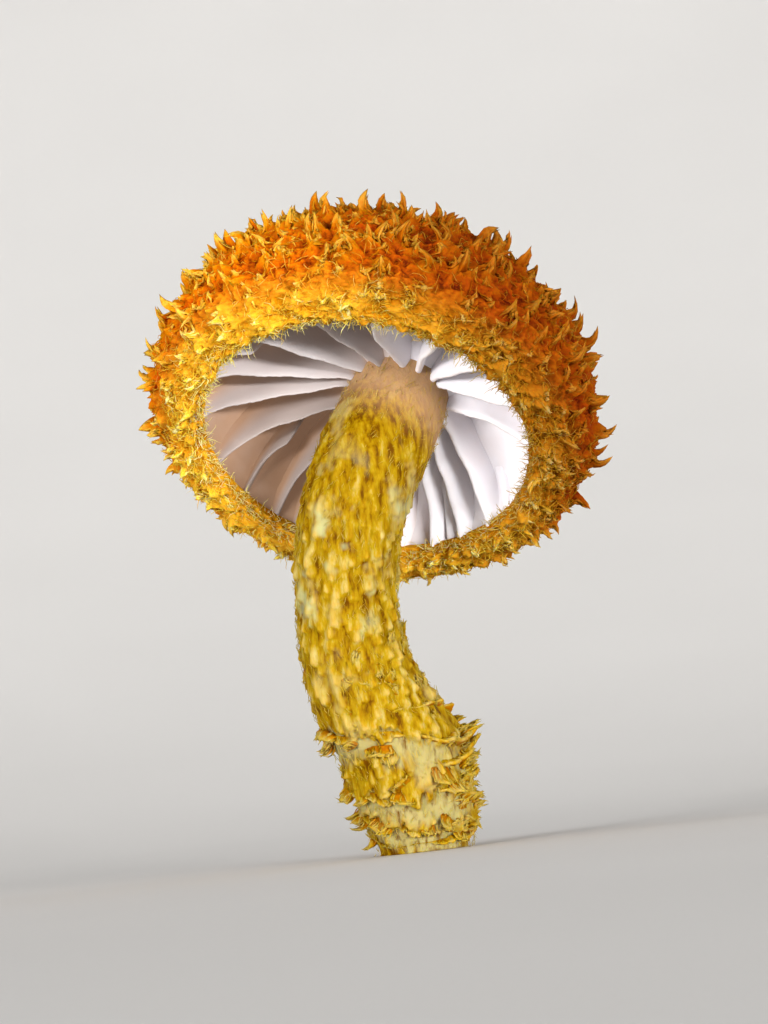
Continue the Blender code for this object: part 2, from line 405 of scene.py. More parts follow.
@dataclass(frozen=True)
class CapShape:
    """The smooth form of the cap in its own frame: half a spheroid, a rolled margin and a hollow."""

    centre: Triple = (-0.10, -0.40, 14.20)
    axis: Triple = (0.236, 0.592, 0.771)
    radius: float = 7.05
    rise: float = 5.1
    margin_radius: float = 5.6
    margin_drop: float = 1.65
    opening_radius: float = 5.25
    opening_height: float = -1.15
    hollow_radius: float = 5.8
    hollow_rise: float = 3.2
    hollow_widest: float = -0.2
    hollow_power: float = 0.85
    samples: int = 160
    margin_slack: float = 0.05

    def turn(self) -> Array:
        """The rotation from the cap's frame to the mushroom's."""
        return np.array(Vector((0, 0, 1)).rotation_difference(Vector(self.axis).normalized()).to_matrix())

    def placed(self, points: Array) -> Array:
        """Points of the cap's frame in the mushroom's."""
        return points @ self.turn().T + np.array(self.centre)

    def taken(self, points: Array) -> Array:
        """Points of the mushroom's frame in the cap's."""
        return (points - np.array(self.centre)) @ self.turn()

    def profile(self) -> tuple[Array, Array]:
        """The closed outline in (radius, height): over the dome, round the margin and up the hollow.

        Returns:
            The points, and the outward direction at each.
        """
        quarter = np.linspace(0, math.pi / 2, self.samples)
        sin, cos, share = np.sin(quarter), np.cos(quarter), quarter / (math.pi / 2)
        edge, drop = self.margin_radius, self.margin_drop
        mouth, level = self.opening_radius, self.opening_height
        stretches = (
            (self.radius * sin, self.rise * cos),
            (edge + (self.radius - edge) * cos, -drop * sin),
            (edge - (edge - mouth) * sin, -drop + (drop + level) * (1 - cos)),
            (mouth + (self.hollow_radius - mouth) * sin, level + (self.hollow_widest - level) * share),
            (self.hollow_radius * cos, self.hollow_widest + self.hollow_rise * sin**self.hollow_power),
        )
        points = np.concatenate([np.stack(line, 1)[number > 0 :] for number, line in enumerate(stretches)])
        heading = unit(np.gradient(points, axis=0))
        return points, np.stack([-heading[:, 1], heading[:, 0]], 1)

    def travelled(self) -> Array:
        """Distance along the outline from the top of the cap to each of its points."""
        return distances_along(self.profile()[0])

    def margin_at(self) -> float:
        """Distance along the outline from the top of the cap to the lowest line of the margin."""
        points, _ = self.profile()
        return float(self.travelled()[np.argmin(points[:, 1])])

    def at(self, distance: Array, bearing: Array) -> tuple[Array, Array]:
        """Points and outward directions at a distance down the outline and a bearing about the axis.

        Args:
            distance: Distances from the top, shape (n,).
            bearing: Bearings in radians, shape (n,).

        Returns:
            Places and unit directions, each of shape (n, 3), in the cap's frame.
        """
        points, outward = self.profile()
        along = self.travelled()
        radius, height = (np.interp(distance, along, points[:, k]) for k in (0, 1))
        out_r, out_h = (np.interp(distance, along, outward[:, k]) for k in (0, 1))
        cos, sin = np.cos(bearing), np.sin(bearing)
        place = np.stack([radius * cos, radius * sin, height], -1)
        return place, unit(np.stack([out_r * cos, out_r * sin, out_h], -1))

    def nearest(self, places: Array) -> tuple[Array, Array, Array]:
        """Where points off the cap meet its outer skin.

        Args:
            places: Points in the cap's frame, shape (n, 3).

        Returns:
            Distance down the outline, bearing, and height above the skin, each of shape (n,).
        """
        points, outward = self.profile()
        outer = self.travelled() <= self.margin_at() + self.margin_slack
        flat = np.stack([np.hypot(places[:, 0], places[:, 1]), places[:, 2]], 1)
        gap = flat[:, None] - points[None, outer]
        pick = np.linalg.norm(gap, axis=2).argmin(1)
        lift = (gap[np.arange(len(flat)), pick] * outward[outer][pick]).sum(1)
        return self.travelled()[outer][pick], np.arctan2(places[:, 1], places[:, 0]), lift

    def strands(
        self, paths: Array, widths: Array, facing: Array, sides: int = STRAND_SIDES, **form: float
    ) -> Swept:
        """Strands given in the cap's frame, placed in the mushroom's.

        Args:
            paths: Middle lines, shape (strands, steps, 3).
            widths: Half widths along them, shape (strands, steps).
            facing: A direction that each strand's section faces, shape (strands, 3).
            sides: Corners of a section.
            form: How flat and fluted a section is.

        Returns:
            The strands.
        """
        return Swept(self.placed(paths), widths, facing @ self.turn().T, sides, **form)


@dataclass
class Spines:
    """Where the cap's spines stand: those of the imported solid, tufts between them, and side prongs."""

    cap: CapShape
    solid: Piece
    least_height: float = 0.28
    greatest_height: float = 1.1
    tuft_count: int = 620
    tuft_clearance: float = 0.31
    tuft_height: Pair = (0.22, 0.46)
    tuft_lean: float = 0.45
    tuft_tries: int = 9000
    margin_clearance: float = 0.15
    prong_share: float = 0.75
    prong_height: Pair = (0.45, 0.85)
    prong_gap: Pair = (0.14, 0.26)
    prong_lean: Pair = (0.1, 0.5)

    def __post_init__(self) -> None:
        """Reads the spines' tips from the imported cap, strews the tufts and adds the prongs."""
        places = np.empty(len(self.solid.data.vertices) * 3, np.float32)
        self.solid.data.vertices.foreach_get("co", places)
        own = np.unique(np.round(self.cap.taken(places.reshape(-1, 3) / MM), 3), axis=0)
        distance, bearing, lift = self.cap.nearest(own)
        tips = (lift > self.least_height) & (lift < self.greatest_height)
        tips &= distance < self.cap.margin_at() - self.margin_clearance
        foot, outward = self.cap.at(distance[tips], bearing[tips])
        self.foot, self.outward, self.tip, self.height = foot, outward, own[tips], lift[tips]
        self.big = len(self.foot)
        self.strew()
        self.sites = len(self.foot)
        self.fork()
        self.distance, self.bearing, _ = self.cap.nearest(self.foot)

    def add(self, foot: Array, outward: Array, height: Array, lean: Array) -> None:
        """Adds spines by their feet, outward directions, heights and sideways lean of the tips."""
        self.foot = np.concatenate([self.foot, foot])
        self.outward = np.concatenate([self.outward, outward])
        self.tip = np.concatenate([self.tip, foot + outward * height[:, None] + lean])
        self.height = np.concatenate([self.height, height])

    def strew(self) -> None:
        """Adds the tufts by throwing darts at the skin and keeping those that land clear of the rest."""
        rng = Scatter.CAP_TUFTS.draw()
        distance = rng.uniform(0.0, self.cap.margin_at() + self.cap.margin_slack, self.tuft_tries)
        bearing = rng.uniform(-math.pi, math.pi, self.tuft_tries)
        place, outward = self.cap.at(distance, bearing)
        keep = rng.uniform(0, self.cap.radius, self.tuft_tries) < np.hypot(place[:, 0], place[:, 1])
        chosen = spaced(place[keep], self.tuft_clearance, self.tuft_count, self.foot)
        chosen = np.flatnonzero(keep)[chosen]
        height = rng.uniform(*self.tuft_height, len(chosen))
        lean = unit(rng.normal(0, 1, (len(chosen), 3))) * height[:, None] * self.tuft_lean
        self.add(place[chosen], outward[chosen], height, lean)

    def fork(self) -> None:
        """Gives most large spines a lesser prong that starts beside them and leans away."""
        rng = Scatter.CAP_PRONGS.draw()
        own = np.flatnonzero(rng.uniform(0, 1, self.big) < self.prong_share)
        outward = self.outward[own]
        across = unit(np.cross(outward, rng.normal(0, 1, (len(own), 3))))
        foot = self.foot[own] + across * rng.uniform(*self.prong_gap, (len(own), 1))
        height = self.height[own] * rng.uniform(*self.prong_height, len(own))
        lean = across * height[:, None] * rng.uniform(*self.prong_lean, (len(own), 1))
        self.add(foot, outward, height, lean)


class Graph:
    """A material's nodes, with a short call for each kind that the finishes use."""

    def __init__(self, name: str) -> None:
        """Starts a material with one Principled shader.

        Args:
            name: The material's name.
        """
        self.material = bpy.data.materials.new(name)
        self.material.use_nodes = True
        self.tree = self.material.node_tree
        self.shader = self.tree.nodes["Principled BSDF"]
        self.place = self.tree.nodes.new("ShaderNodeTexCoord").outputs["Object"]

    def set(self, **values: float | tuple) -> None:
        """Sets the shader's own sockets, each named with underscores for spaces."""
        for name, value in values.items():
            self.shader.inputs[name.replace("_", " ")].default_value = value

    def value(self, name: str) -> Socket:
        """The socket of a named value that the mesh carries."""
        node = self.tree.nodes.new("ShaderNodeAttribute")
        node.attribute_name = name
        return node.outputs["Fac"]

    def along(self, axis: str) -> Socket:
        """One object coordinate, in metres."""
        node = self.tree.nodes.new("ShaderNodeSeparateXYZ")
        self.tree.links.new(self.place, node.inputs["Vector"])
        return node.outputs[axis]

    def stretched(self, scale: Triple) -> Socket:
        """Object coordinates scaled unevenly."""
        node = self.tree.nodes.new("ShaderNodeMapping")
        node.inputs["Scale"].default_value = scale
        self.tree.links.new(self.place, node.inputs["Vector"])
        return node.outputs["Vector"]

    def noise(self, size: float, detail: float = 3, rough: float = 0.55, at: Socket | None = None) -> Socket:
        """Noise whose patches are about that many millimetres across."""
        node = self.tree.nodes.new("ShaderNodeTexNoise")
        node.inputs["Scale"].default_value = 1.0 / (size * MM)
        node.inputs["Detail"].default_value = detail
        node.inputs["Roughness"].default_value = rough
        self.tree.links.new(at or self.place, node.inputs["Vector"])
        return node.outputs["Fac"]

    def ramp(self, by: Socket, stops: dict[float, Triple]) -> Socket:
        """A colour ramp over a factor."""
        node = self.tree.nodes.new("ShaderNodeValToRGB")
        points = node.color_ramp.elements
        while len(points) < len(stops):
            points.new(0.5)
        for point, (where, colour) in zip(points, sorted(stops.items())):
            point.position = where
            point.color = (*colour, 1.0)
        self.tree.links.new(by, node.inputs["Fac"])
        return node.outputs["Color"]

    def math(self, operation: str, a: Socket | float, b: Socket | float) -> Socket:
        """One operation on two numbers."""
        node = self.tree.nodes.new("ShaderNodeMath")
        node.operation = operation
        for socket, value in zip(node.inputs, (a, b)):
            if isinstance(value, (int, float)):
                socket.default_value = value
            else:
                self.tree.links.new(value, socket)
        return node.outputs["Value"]

    def times(self, a: Socket | float, b: Socket | float) -> Socket:
        """The product of two numbers."""
        return self.math("MULTIPLY", a, b)

    def plus(self, a: Socket | float, b: Socket | float) -> Socket:
        """The sum of two numbers."""
        return self.math("ADD", a, b)

    def less(self, a: Socket | float, b: Socket | float) -> Socket:
        """The first number less the second."""
        return self.math("SUBTRACT", a, b)

    def span(self, value: Socket, low: float, high: float) -> Socket:
        """The value eased from 0 at low to 1 at high."""
        node = self.tree.nodes.new("ShaderNodeMapRange")
        node.interpolation_type = "SMOOTHSTEP"
        node.inputs["From Min"].default_value = low
        node.inputs["From Max"].default_value = high
        self.tree.links.new(value, node.inputs["Value"])
        return node.outputs["Result"]

    def mix(self, by: Socket | float, a: Socket | tuple, b: Socket | tuple, how: str = "MIX") -> Socket:
        """Two colours mixed by a factor."""
        node = self.tree.nodes.new("ShaderNodeMix")
        node.data_type = "RGBA"
        node.blend_type = how
        for socket, value in zip((node.inputs[0], node.inputs[6], node.inputs[7]), (by, a, b)):
            if isinstance(value, Socket):
                self.tree.links.new(value, socket)
            else:
                socket.default_value = (*value, 1.0) if isinstance(value, tuple) else value
        return node.outputs[2]

    def paint(self, colour: Socket) -> None:
        """Takes the shader's base colour from a socket."""
        self.tree.links.new(colour, self.shader.inputs["Base Color"])

    def painted_glow(self, colour: Socket) -> None:
        """Takes a painted glow, an emission colour that stands in for light coming through the flesh, from a
        socket.
        """
        self.tree.links.new(colour, self.shader.inputs["Emission Color"])
        self.set(Emission_Strength=1.0)

    def bump(self, height: Socket, depth: float, strength: float = 1.0) -> None:
        """Shades small relief of that depth in millimetres."""
        node = self.tree.nodes.new("ShaderNodeBump")
        node.inputs["Distance"].default_value = depth * MM
        node.inputs["Strength"].default_value = strength
        self.tree.links.new(height, node.inputs["Height"])
        self.tree.links.new(node.outputs["Normal"], self.shader.inputs["Normal"])


@dataclass(frozen=True)
class FleeceFinish:
    """The cap's matted fibres: deep orange in the pits, darkened there by painted shade, orange on the
    flanks, yellow at the spines' tips, and painted shade towards the right and top.
    """

    # Deep orange of the fibres low between the spines, made darker as painted shade in the pits.
    pit_and_painted_shade: Triple = (0.15, 0.014, 0.0)
    flank: Triple = (0.4592, 0.0886, 0.0)
    upper: Triple = (0.54, 0.179, 0.0006)
    tip: Triple = (0.72, 0.37, 0.04)
    margin_low: Triple = (0.54, 0.21, 0.0008)
    margin_high: Triple = (0.75, 0.46, 0.035)
    whitest: Triple = (0.76, 0.64, 0.24)
    red_patch: Triple = (0.48, 0.04, 0.0)
    # Colour multiplied in as painted shade on the cap's right and top.
    right_shade_colour: Triple = (0.31, 0.175, 0.09)

    def material(self) -> Material:
        """Builds the finish from the values rise and margin, with patches of redder and yellower fibre, and
        painted shade that darkens the cap towards its right and top.
        """
        graph = Graph("cap_fleece")
        rise, margin = graph.value("rise"), graph.value("margin")
        mottled = graph.plus(rise, graph.times(graph.less(graph.noise(0.35), 0.5), 0.55))
        fine = graph.times(graph.less(graph.noise(0.11, 2.0), 0.5), 0.5)
        mottled = graph.plus(mottled, fine)
        # The lowest fibres, between the spines, take the pit colour: partly their own deep orange, partly
        # painted shade.
        fleece = graph.ramp(mottled, {0.02: self.pit_and_painted_shade, 0.24: self.flank, 0.54: self.upper, 0.92: self.tip})
        red = graph.span(graph.noise(1.6, 2.0), 0.56, 0.72)
        low_down = graph.less(1.0, graph.span(rise, 0.15, 0.7))
        fleece = graph.mix(graph.times(graph.times(red, low_down), 0.5), fleece, self.red_patch)
        wool = graph.ramp(mottled, {0.0: self.margin_low, 0.7: self.margin_high, 1.0: self.whitest})
        fleece = graph.mix(margin, fleece, wool)
        # Painted shade: the fleece is darkened towards the right and the top, away from the key light.
        away = graph.plus(graph.along("X"), graph.times(graph.along("Z"), 0.35))
        right_shade = graph.times(graph.span(away, 2.5 * MM, 10.5 * MM), 0.9)
        graph.paint(graph.mix(right_shade, fleece, self.right_shade_colour, "MULTIPLY"))
        graph.set(Roughness=0.8, Subsurface_Weight=0.4, Subsurface_Radius=(1.0, 0.38, 0.05))
        graph.set(Subsurface_Scale=0.3 * MM, Specular_IOR_Level=0.03)
        graph.bump(graph.noise(0.09, 3.0), 0.03, 0.6)
        return graph.material


@dataclass(frozen=True)
class FleshFinish:
    """The gills' soft white flesh, with painted shade that makes it warmer and browner the deeper it lies."""

    edge: Triple = (0.83, 0.815, 0.86)
    face: Triple = (0.765, 0.73, 0.765)
    deep: Triple = (0.72, 0.49, 0.33)
    rosy: Triple = (0.84, 0.74, 0.74)
    shaded: Triple = (0.31, 0.26, 0.22)
    # Emission colour of the painted glow.
    painted_glow: Triple = (0.105, 0.063, 0.04)

    def material(self) -> Material:
        """Builds the finish from the value depth, painted shade that runs from 0 at a gill's edge towards 1
        at its root.
        """
        graph = Graph("gill_flesh")
        depth = graph.value("depth")
        # Painted shade: white at the edge, browner where the value depth is higher.
        colour = graph.ramp(depth, {0.0: self.edge, 0.45: self.face, 1.0: self.deep})
        patches = graph.span(graph.noise(0.9, 2.0), 0.35, 0.75)
        colour = graph.mix(graph.times(patches, 0.22), colour, self.rosy)
        # Painted shade: gills on the side away from the light are multiplied by the shaded colour.
        colour = graph.mix(graph.times(graph.value("shaded"), 0.9), colour, self.shaded, "MULTIPLY")
        graph.paint(colour)
        # Painted glow: the deep parts of the shaded gills emit a warm colour in place of light coming through
        # the thin flesh.
        painted_glow_by_depth = graph.ramp(depth, {0.05: BLACK, 0.8: self.painted_glow})
        graph.painted_glow(graph.mix(graph.value("shaded"), BLACK, painted_glow_by_depth))
        graph.set(Roughness=0.5, Subsurface_Weight=0.1, Subsurface_Radius=(1.0, 0.78, 0.70))
        graph.set(Subsurface_Scale=0.5 * MM, Specular_IOR_Level=0.25)
        graph.bump(graph.noise(0.12, 3.0), 0.012, 0.5)
        return graph.material


@dataclass(frozen=True)
class StalkFinish:
    """The stem's yellow fibres: cream between the scales, orange under them, partly their own colour and
    partly painted shade, buff at the top.
    """

    cream: Triple = (0.41, 0.325, 0.105)
    yellow: Triple = (0.2352, 0.1243, 0.0)
    lemon: Triple = (0.3108, 0.1974, 0.0034)
    amber: Triple = (0.1092, 0.0403, 0.0)
    orange: Triple = (0.3528, 0.105, 0.0)
    pale_tip: Triple = (0.40, 0.225, 0.008)
    bare: Triple = (0.35, 0.31, 0.125)
    greenish: Triple = (0.3528, 0.3696, 0.1848)
    buff: Triple = (0.45, 0.27, 0.14)

    def material(self) -> Material:
        """Builds the finish from the value rise, and from how far up the stem a point is."""
        graph = Graph("stem_fibre")
        rise = graph.value("rise")
        up = graph.value("up")
        grown = graph.times(graph.less(rise, 0.25), 0.55)
        streaks = graph.plus(graph.noise(0.22, 4.0, 0.6, graph.stretched((1.0, 1.0, 0.28))), grown)
        patches = graph.noise(1.5, 3.0)
        skin = graph.ramp(streaks, {0.38: self.amber, 0.50: self.yellow, 0.64: self.lemon, 0.84: self.cream})
        pale = graph.span(patches, 0.56, 0.70)
        skin = graph.mix(graph.times(pale, 0.65), skin, self.cream)
        mid = graph.times(graph.span(up, 0.40, 0.52), graph.less(1.0, graph.span(up, 0.66, 0.78)))
        green = graph.times(mid, graph.span(graph.noise(1.1, 2.0), 0.55, 0.68))
        skin = graph.mix(graph.times(green, 0.7), skin, self.greenish)
        skin = graph.mix(graph.times(graph.span(up, 0.80, 0.91), 0.85), skin, self.buff)
        # Orange under the scales and on the collars' lower faces: partly the scales' own colour, partly
        # painted shade under them.
        under = graph.less(1.0, graph.span(rise, 0.15, 0.85))
        scaled = graph.times(graph.value("scale"), under)
        skin = graph.mix(graph.times(scaled, 0.75), skin, self.orange)
        skin = graph.mix(graph.times(graph.span(rise, 0.40, 1.0), 0.8), skin, self.pale_tip)
        combed = graph.times(graph.value("bare"), graph.span(streaks, 0.24, 0.50))
        skin = graph.mix(graph.times(combed, 0.8), skin, self.bare)
        graph.paint(skin)
        graph.set(Roughness=0.65, Subsurface_Weight=0.4, Subsurface_Radius=(1.0, 0.5, 0.08))
        graph.set(Subsurface_Scale=0.3 * MM, Specular_IOR_Level=0.03)
        graph.bump(graph.noise(0.08, 4.0, 0.6, graph.stretched((1.0, 1.0, 0.35))), 0.03, 0.7)
        return graph.material


def even_sphere(side: int) -> tuple[Array, Array]:
    """A cube's grid swelled to a sphere, with cells of nearly one size.

    Each coordinate x of the cube goes to tan(x * 45 degrees) before the point is drawn in to length one.

    Args:
        side: Cells along each edge of the cube.

    Returns:
        Unit directions, shape (n, 3), and the quads between them.
    """
    steps = np.linspace(-1, 1, side + 1)
    a, b = np.meshgrid(steps, steps, indexing="ij")
    one = np.ones_like(a)
    sheets = [(one, a, b), (-one, b, a), (b, one, a), (a, -one, b), (a, b, one), (b, a, -one)]
    places = np.concatenate([np.stack(sheet, -1).reshape(-1, 3) for sheet in sheets])
    quads = np.concatenate([wrapped_grid(side + 1, side + 1, False) + i * (side + 1) ** 2 for i in range(6)])
    whole = np.rint(places * side * 2).astype(np.int64)
    _, first, number = np.unique(whole, axis=0, return_index=True, return_inverse=True)
    directions = unit(np.tan(places[first] * math.pi / 4))
    return directions, number.reshape(-1)[quads]


@dataclass
class CapFlesh:
    """The cap's body: its smooth form, drawn up round each spine and along crests from spine to spine."""

    cap: CapShape
    spines: Spines
    finish: Material
    cells: int = 112
    hidden_share: float = 0.08
    foot_height: float = 0.38
    foot_width: float = 0.24
    crest_height: float = 0.24
    crest_width: float = 0.13
    crest_middle: float = 0.42
    crest_sag: float = 0.58
    longest_crest: float = 1.35
    crest_fade: float = 0.5
    crest_neighbours: int = 4
    usual_height: float = 0.6
    size_range: Pair = (0.4, 1.2)
    lesser_share: float = 0.25
    grain: float = 0.08
    grain_size: float = 0.15
    lump: float = 0.08
    lump_size: float = 1.3
    fine_ridge: float = 0.22
    fine_ridge_size: float = 0.38
    finest_ridge: float = 0.08
    finest_ridge_size: float = 0.19
    ridge_sharpness: float = 2.2
    lowered: float = 0.16
    full_height: float = 0.36
    sunk: float = 0.04
    margin_start: float = 1.9
    margin_fade: float = 1.6
    hidden_from: float = 0.6
    shown_to: float = 0.2
    shown_fade: float = 0.6
    rise_shares: tuple[float, ...] = (0.44, 0.22, 0.16, 0.04)
    grid_tilt: Pair = (38.0, 21.0)
    batch: int = 8000

    def directions_to_skin(self, directions: Array) -> tuple[Array, Array]:
        """Spreads directions over the closed outline, area for area, with few on the hidden inside.

        Args:
            directions: Unit vectors, shape (n, 3).

        Returns:
            Distance down the outline and bearing for each.
        """
        points, _ = self.cap.profile()
        along = self.cap.travelled()
        middle = (along[1:] + along[:-1]) / 2
        share = np.where(middle < self.cap.margin_at() + self.hidden_from, 1.0, self.hidden_share)
        bands = np.diff(along) * (points[1:, 0] + points[:-1, 0]) * share
        total = np.concatenate([[0.0], np.cumsum(bands)]) / bands.sum()
        distance = np.interp((1 - directions[:, 2]) / 2, total, along)
        return distance, np.arctan2(directions[:, 1], directions[:, 0])

    def relief(self, places: Array) -> Array:
        """Height of the fleece above the smooth form.

        Round a spine it is the foot height times exp(-(d / width)^1.2). Between two near spines a crest runs,
        of the crest height at its ends and under half of it halfway, times exp(-(d / width)^1.5) across it.
        The higher of the two is taken, with a quarter of the lower.

        Args:
            places: Points of the smooth form, shape (n, 3).

        Returns:
            Heights, shape (n,).
        """
        foot = self.spines.foot[: self.spines.sites]
        size = np.clip(self.spines.height[: self.spines.sites] / self.usual_height, *self.size_range)
        heights = np.empty(len(places))
        for start in range(0, len(places), self.batch):
            some = places[start : start + self.batch]
            gap = np.linalg.norm(some[:, None] - foot[None], axis=2)
            near = np.argpartition(gap, self.crest_neighbours, axis=1)[:, : self.crest_neighbours]
            reach = np.take_along_axis(gap, near, axis=1)
            feet = (self.foot_height * size[near] * np.exp(-((reach / self.foot_width) ** 1.2))).max(1)
            crest = np.zeros(len(some))
            for i, j in combinations(range(self.crest_neighbours), 2):
                a, b = foot[near[:, i]], foot[near[:, j]]
                span = b - a
                length = np.linalg.norm(span, axis=1)
                t = np.clip(((some - a) * span).sum(1) / length**2, 0, 1)
                off = np.linalg.norm(some - a - span * t[:, None], axis=1)
                sag = self.crest_middle + self.crest_sag * (2 * t - 1) ** 2
                lesser = np.minimum(size[near[:, i]], size[near[:, j]])
                strength = lesser * smooth((self.longest_crest - length) / self.crest_fade)
                line = self.crest_height * strength * sag * np.exp(-((off / self.crest_width) ** 1.5))
                crest = np.maximum(crest, line)
            higher, lower = np.maximum(feet, crest), np.minimum(feet, crest)
            heights[start : start + self.batch] = higher + self.lesser_share * lower
        return heights

    def ground(self, places: Array) -> tuple[Array, Array]:
        """The fleece's surface under or over given points.

        Args:
            places: Points near the cap, shape (n, 3), in its frame.

        Returns:
            Places on the raised fleece and outward directions, each of shape (n, 3).
        """
        distance, bearing, _ = self.cap.nearest(places)
        place, outward = self.cap.at(distance, bearing)
        return place + outward * (self.relief(place) - self.sunk)[:, None], outward

    def margin_share(self, distance: Array) -> Array:
        """How far a place belongs to the woolly margin, 0 to 1."""
        return smooth((distance - self.cap.margin_at() + self.margin_start) / self.margin_fade)

    def shown(self, distance: Array) -> Array:
        """1 on the outside and the margin, falling to 0 on the hidden wall behind the gills' ends."""
        return 1 - smooth((distance - self.cap.margin_at() - self.shown_to) / self.shown_fade)

    def ridges(self, places: Array, size: float, seed: int, power: float) -> Array:
        """Narrow crests, 0 to 1: where smooth noise of that size crosses zero."""
        crossing = np.abs(layered_noise(places / size, seed, 2))
        return np.clip(1 - self.ridge_sharpness * crossing, 0, 1) ** power

    def build(self) -> Piece:
        """Makes the cap's flesh.

        Returns:
            The piece.
        """
        directions, quads = even_sphere(self.cells)
        across, over = (math.radians(angle) for angle in self.grid_tilt)
        directions = directions @ np.array(Matrix.Rotation(across, 3, "X") @ Matrix.Rotation(over, 3, "Y")).T
        distance, bearing = self.directions_to_skin(directions)
        places, outward = self.cap.at(distance, bearing)
        height = self.relief(places)
        seed = Scatter.CAP_SKIN.value
        grain = layered_noise(places / self.grain_size, seed, 3) * self.grain
        lumps = layered_noise(places / self.lump_size, seed + 9, 2) * self.lump
        ridge = self.ridges(places, self.fine_ridge_size, seed + 4, 2) * self.fine_ridge
        finest = self.ridges(places, self.finest_ridge_size, seed + 6, 1.5) * self.finest_ridge
        lift = (height + ridge + finest + grain + lumps - self.lowered) * self.shown(distance)
        whole = np.clip(height / self.full_height, 0, 1)
        parts = (whole, ridge / self.fine_ridge, finest / self.finest_ridge, grain / self.grain)
        rise = sum(part * share for part, share in zip(parts, self.rise_shares))
        values = {"rise": rise, "margin": self.margin_share(distance)}
        flesh = Surface(self.cap.placed(places + outward * lift[:, None]), quads, NO_TRIANGLES, values)
        made = flesh.object("cap_flesh", self.finish)
        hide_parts("cap")
        return made


@dataclass
class CapSpines:
    """The spines: hooked, flattened horns of matted fibre, fluted along their length."""

    cap: CapShape
    spines: Spines
    flesh: CapFlesh
    finish: Material
    steps: int = 7
    sides: int = 8
    half_width: float = 0.19
    flat: float = 0.62
    flute: float = 0.28
    flutes: int = 4
    hook: float = 0.32
    usual_height: float = 0.6
    hook_turn: Pair = (0.25, 1.0)
    hook_share: Pair = (0.3, 1.3)
    sunk: float = 0.05
    knot: float = 0.10
    flare: Pair = (0.4, 0.12)
    blunt: float = 0.85

    def paths(self) -> Array:
        """Centre lines: cubic curves that leave the skin square to it and hook over to the top or a side.

        Returns:
            Points in the cap's frame, shape (spines, steps, 3).
        """
        rng = Scatter.CAP_SPINES.draw()
        foot, outward, tip = self.spines.foot, self.spines.outward, self.spines.tip
        height = self.spines.height[:, None]
        upward = unit(np.array([0, 0, 1.0]) - outward * outward[:, 2:3])
        sideways = np.cross(outward, upward)
        turn = rng.normal(*self.hook_turn, (len(foot), 1))
        bend = (upward * np.cos(turn) + sideways * np.sin(turn)) * self.hook
        bend = bend * np.clip(height / self.usual_height, 0.3, 1.2)
        bend = bend * rng.uniform(*self.hook_share, (len(foot), 1))
        t = np.linspace(0, 1, self.steps)[None, :, None]
        a = foot - outward * self.sunk
        b = foot + outward * height * 0.55 - bend * 0.45
        c = tip - outward * height * 0.22 - bend * 0.25
        d = tip + bend * 0.9 + outward * height * 0.06
        line = [((1 - t) ** 3, a), (3 * t * (1 - t) ** 2, b), (3 * t**2 * (1 - t), c), (t**3, d)]
        return sum(weight * point[:, None] for weight, point in line)

    def widths(self) -> Array:
        """Half widths: a flared foot, then an almost even taper to the tip.

        Returns:
            Numbers, shape (spines, steps).
        """
        rng = Scatter.CAP_STRANDS.draw()
        t = np.linspace(0, 1, self.steps)[None]
        size = np.clip(self.spines.height / 0.62, 0.5, 1.15)[:, None] ** 0.8
        size = size * rng.uniform(0.75, 1.3, (len(self.spines.foot), 1))
        knots = 1 + rng.normal(0, self.knot, (len(size), self.steps)) * (1 - t)
        flared, flare_length = self.flare
        return self.half_width * size * knots * ((1 - t) ** self.blunt + flared * np.exp(-t / flare_length))

    def margin(self) -> Array:
        """How far each spine belongs to the woolly margin, shape (spines, steps)."""
        return np.repeat(self.flesh.margin_share(self.spines.distance)[:, None], self.steps, axis=1)

    def build(self) -> Piece:
        """Makes the spines.

        Returns:
            The piece.
        """
        paths = self.paths()
        rng = Scatter.CAP_SPINES.draw()
        facing = unit(self.spines.outward[:, [1, 2, 0]] + rng.normal(0, 0.6, (len(paths), 3)))
        rise = 0.25 + 0.75 * np.linspace(0, 1, self.steps)[None] ** 1.1 + rng.normal(0, 0.08, (len(paths), 1))
        form = {"flat": self.flat, "flute": self.flute, "flutes": self.flutes}
        horns = self.cap.strands(paths, self.widths(), facing, self.sides, **form)
        return horns.surface(rise=rise, margin=self.margin()).object("cap_spines", self.finish)


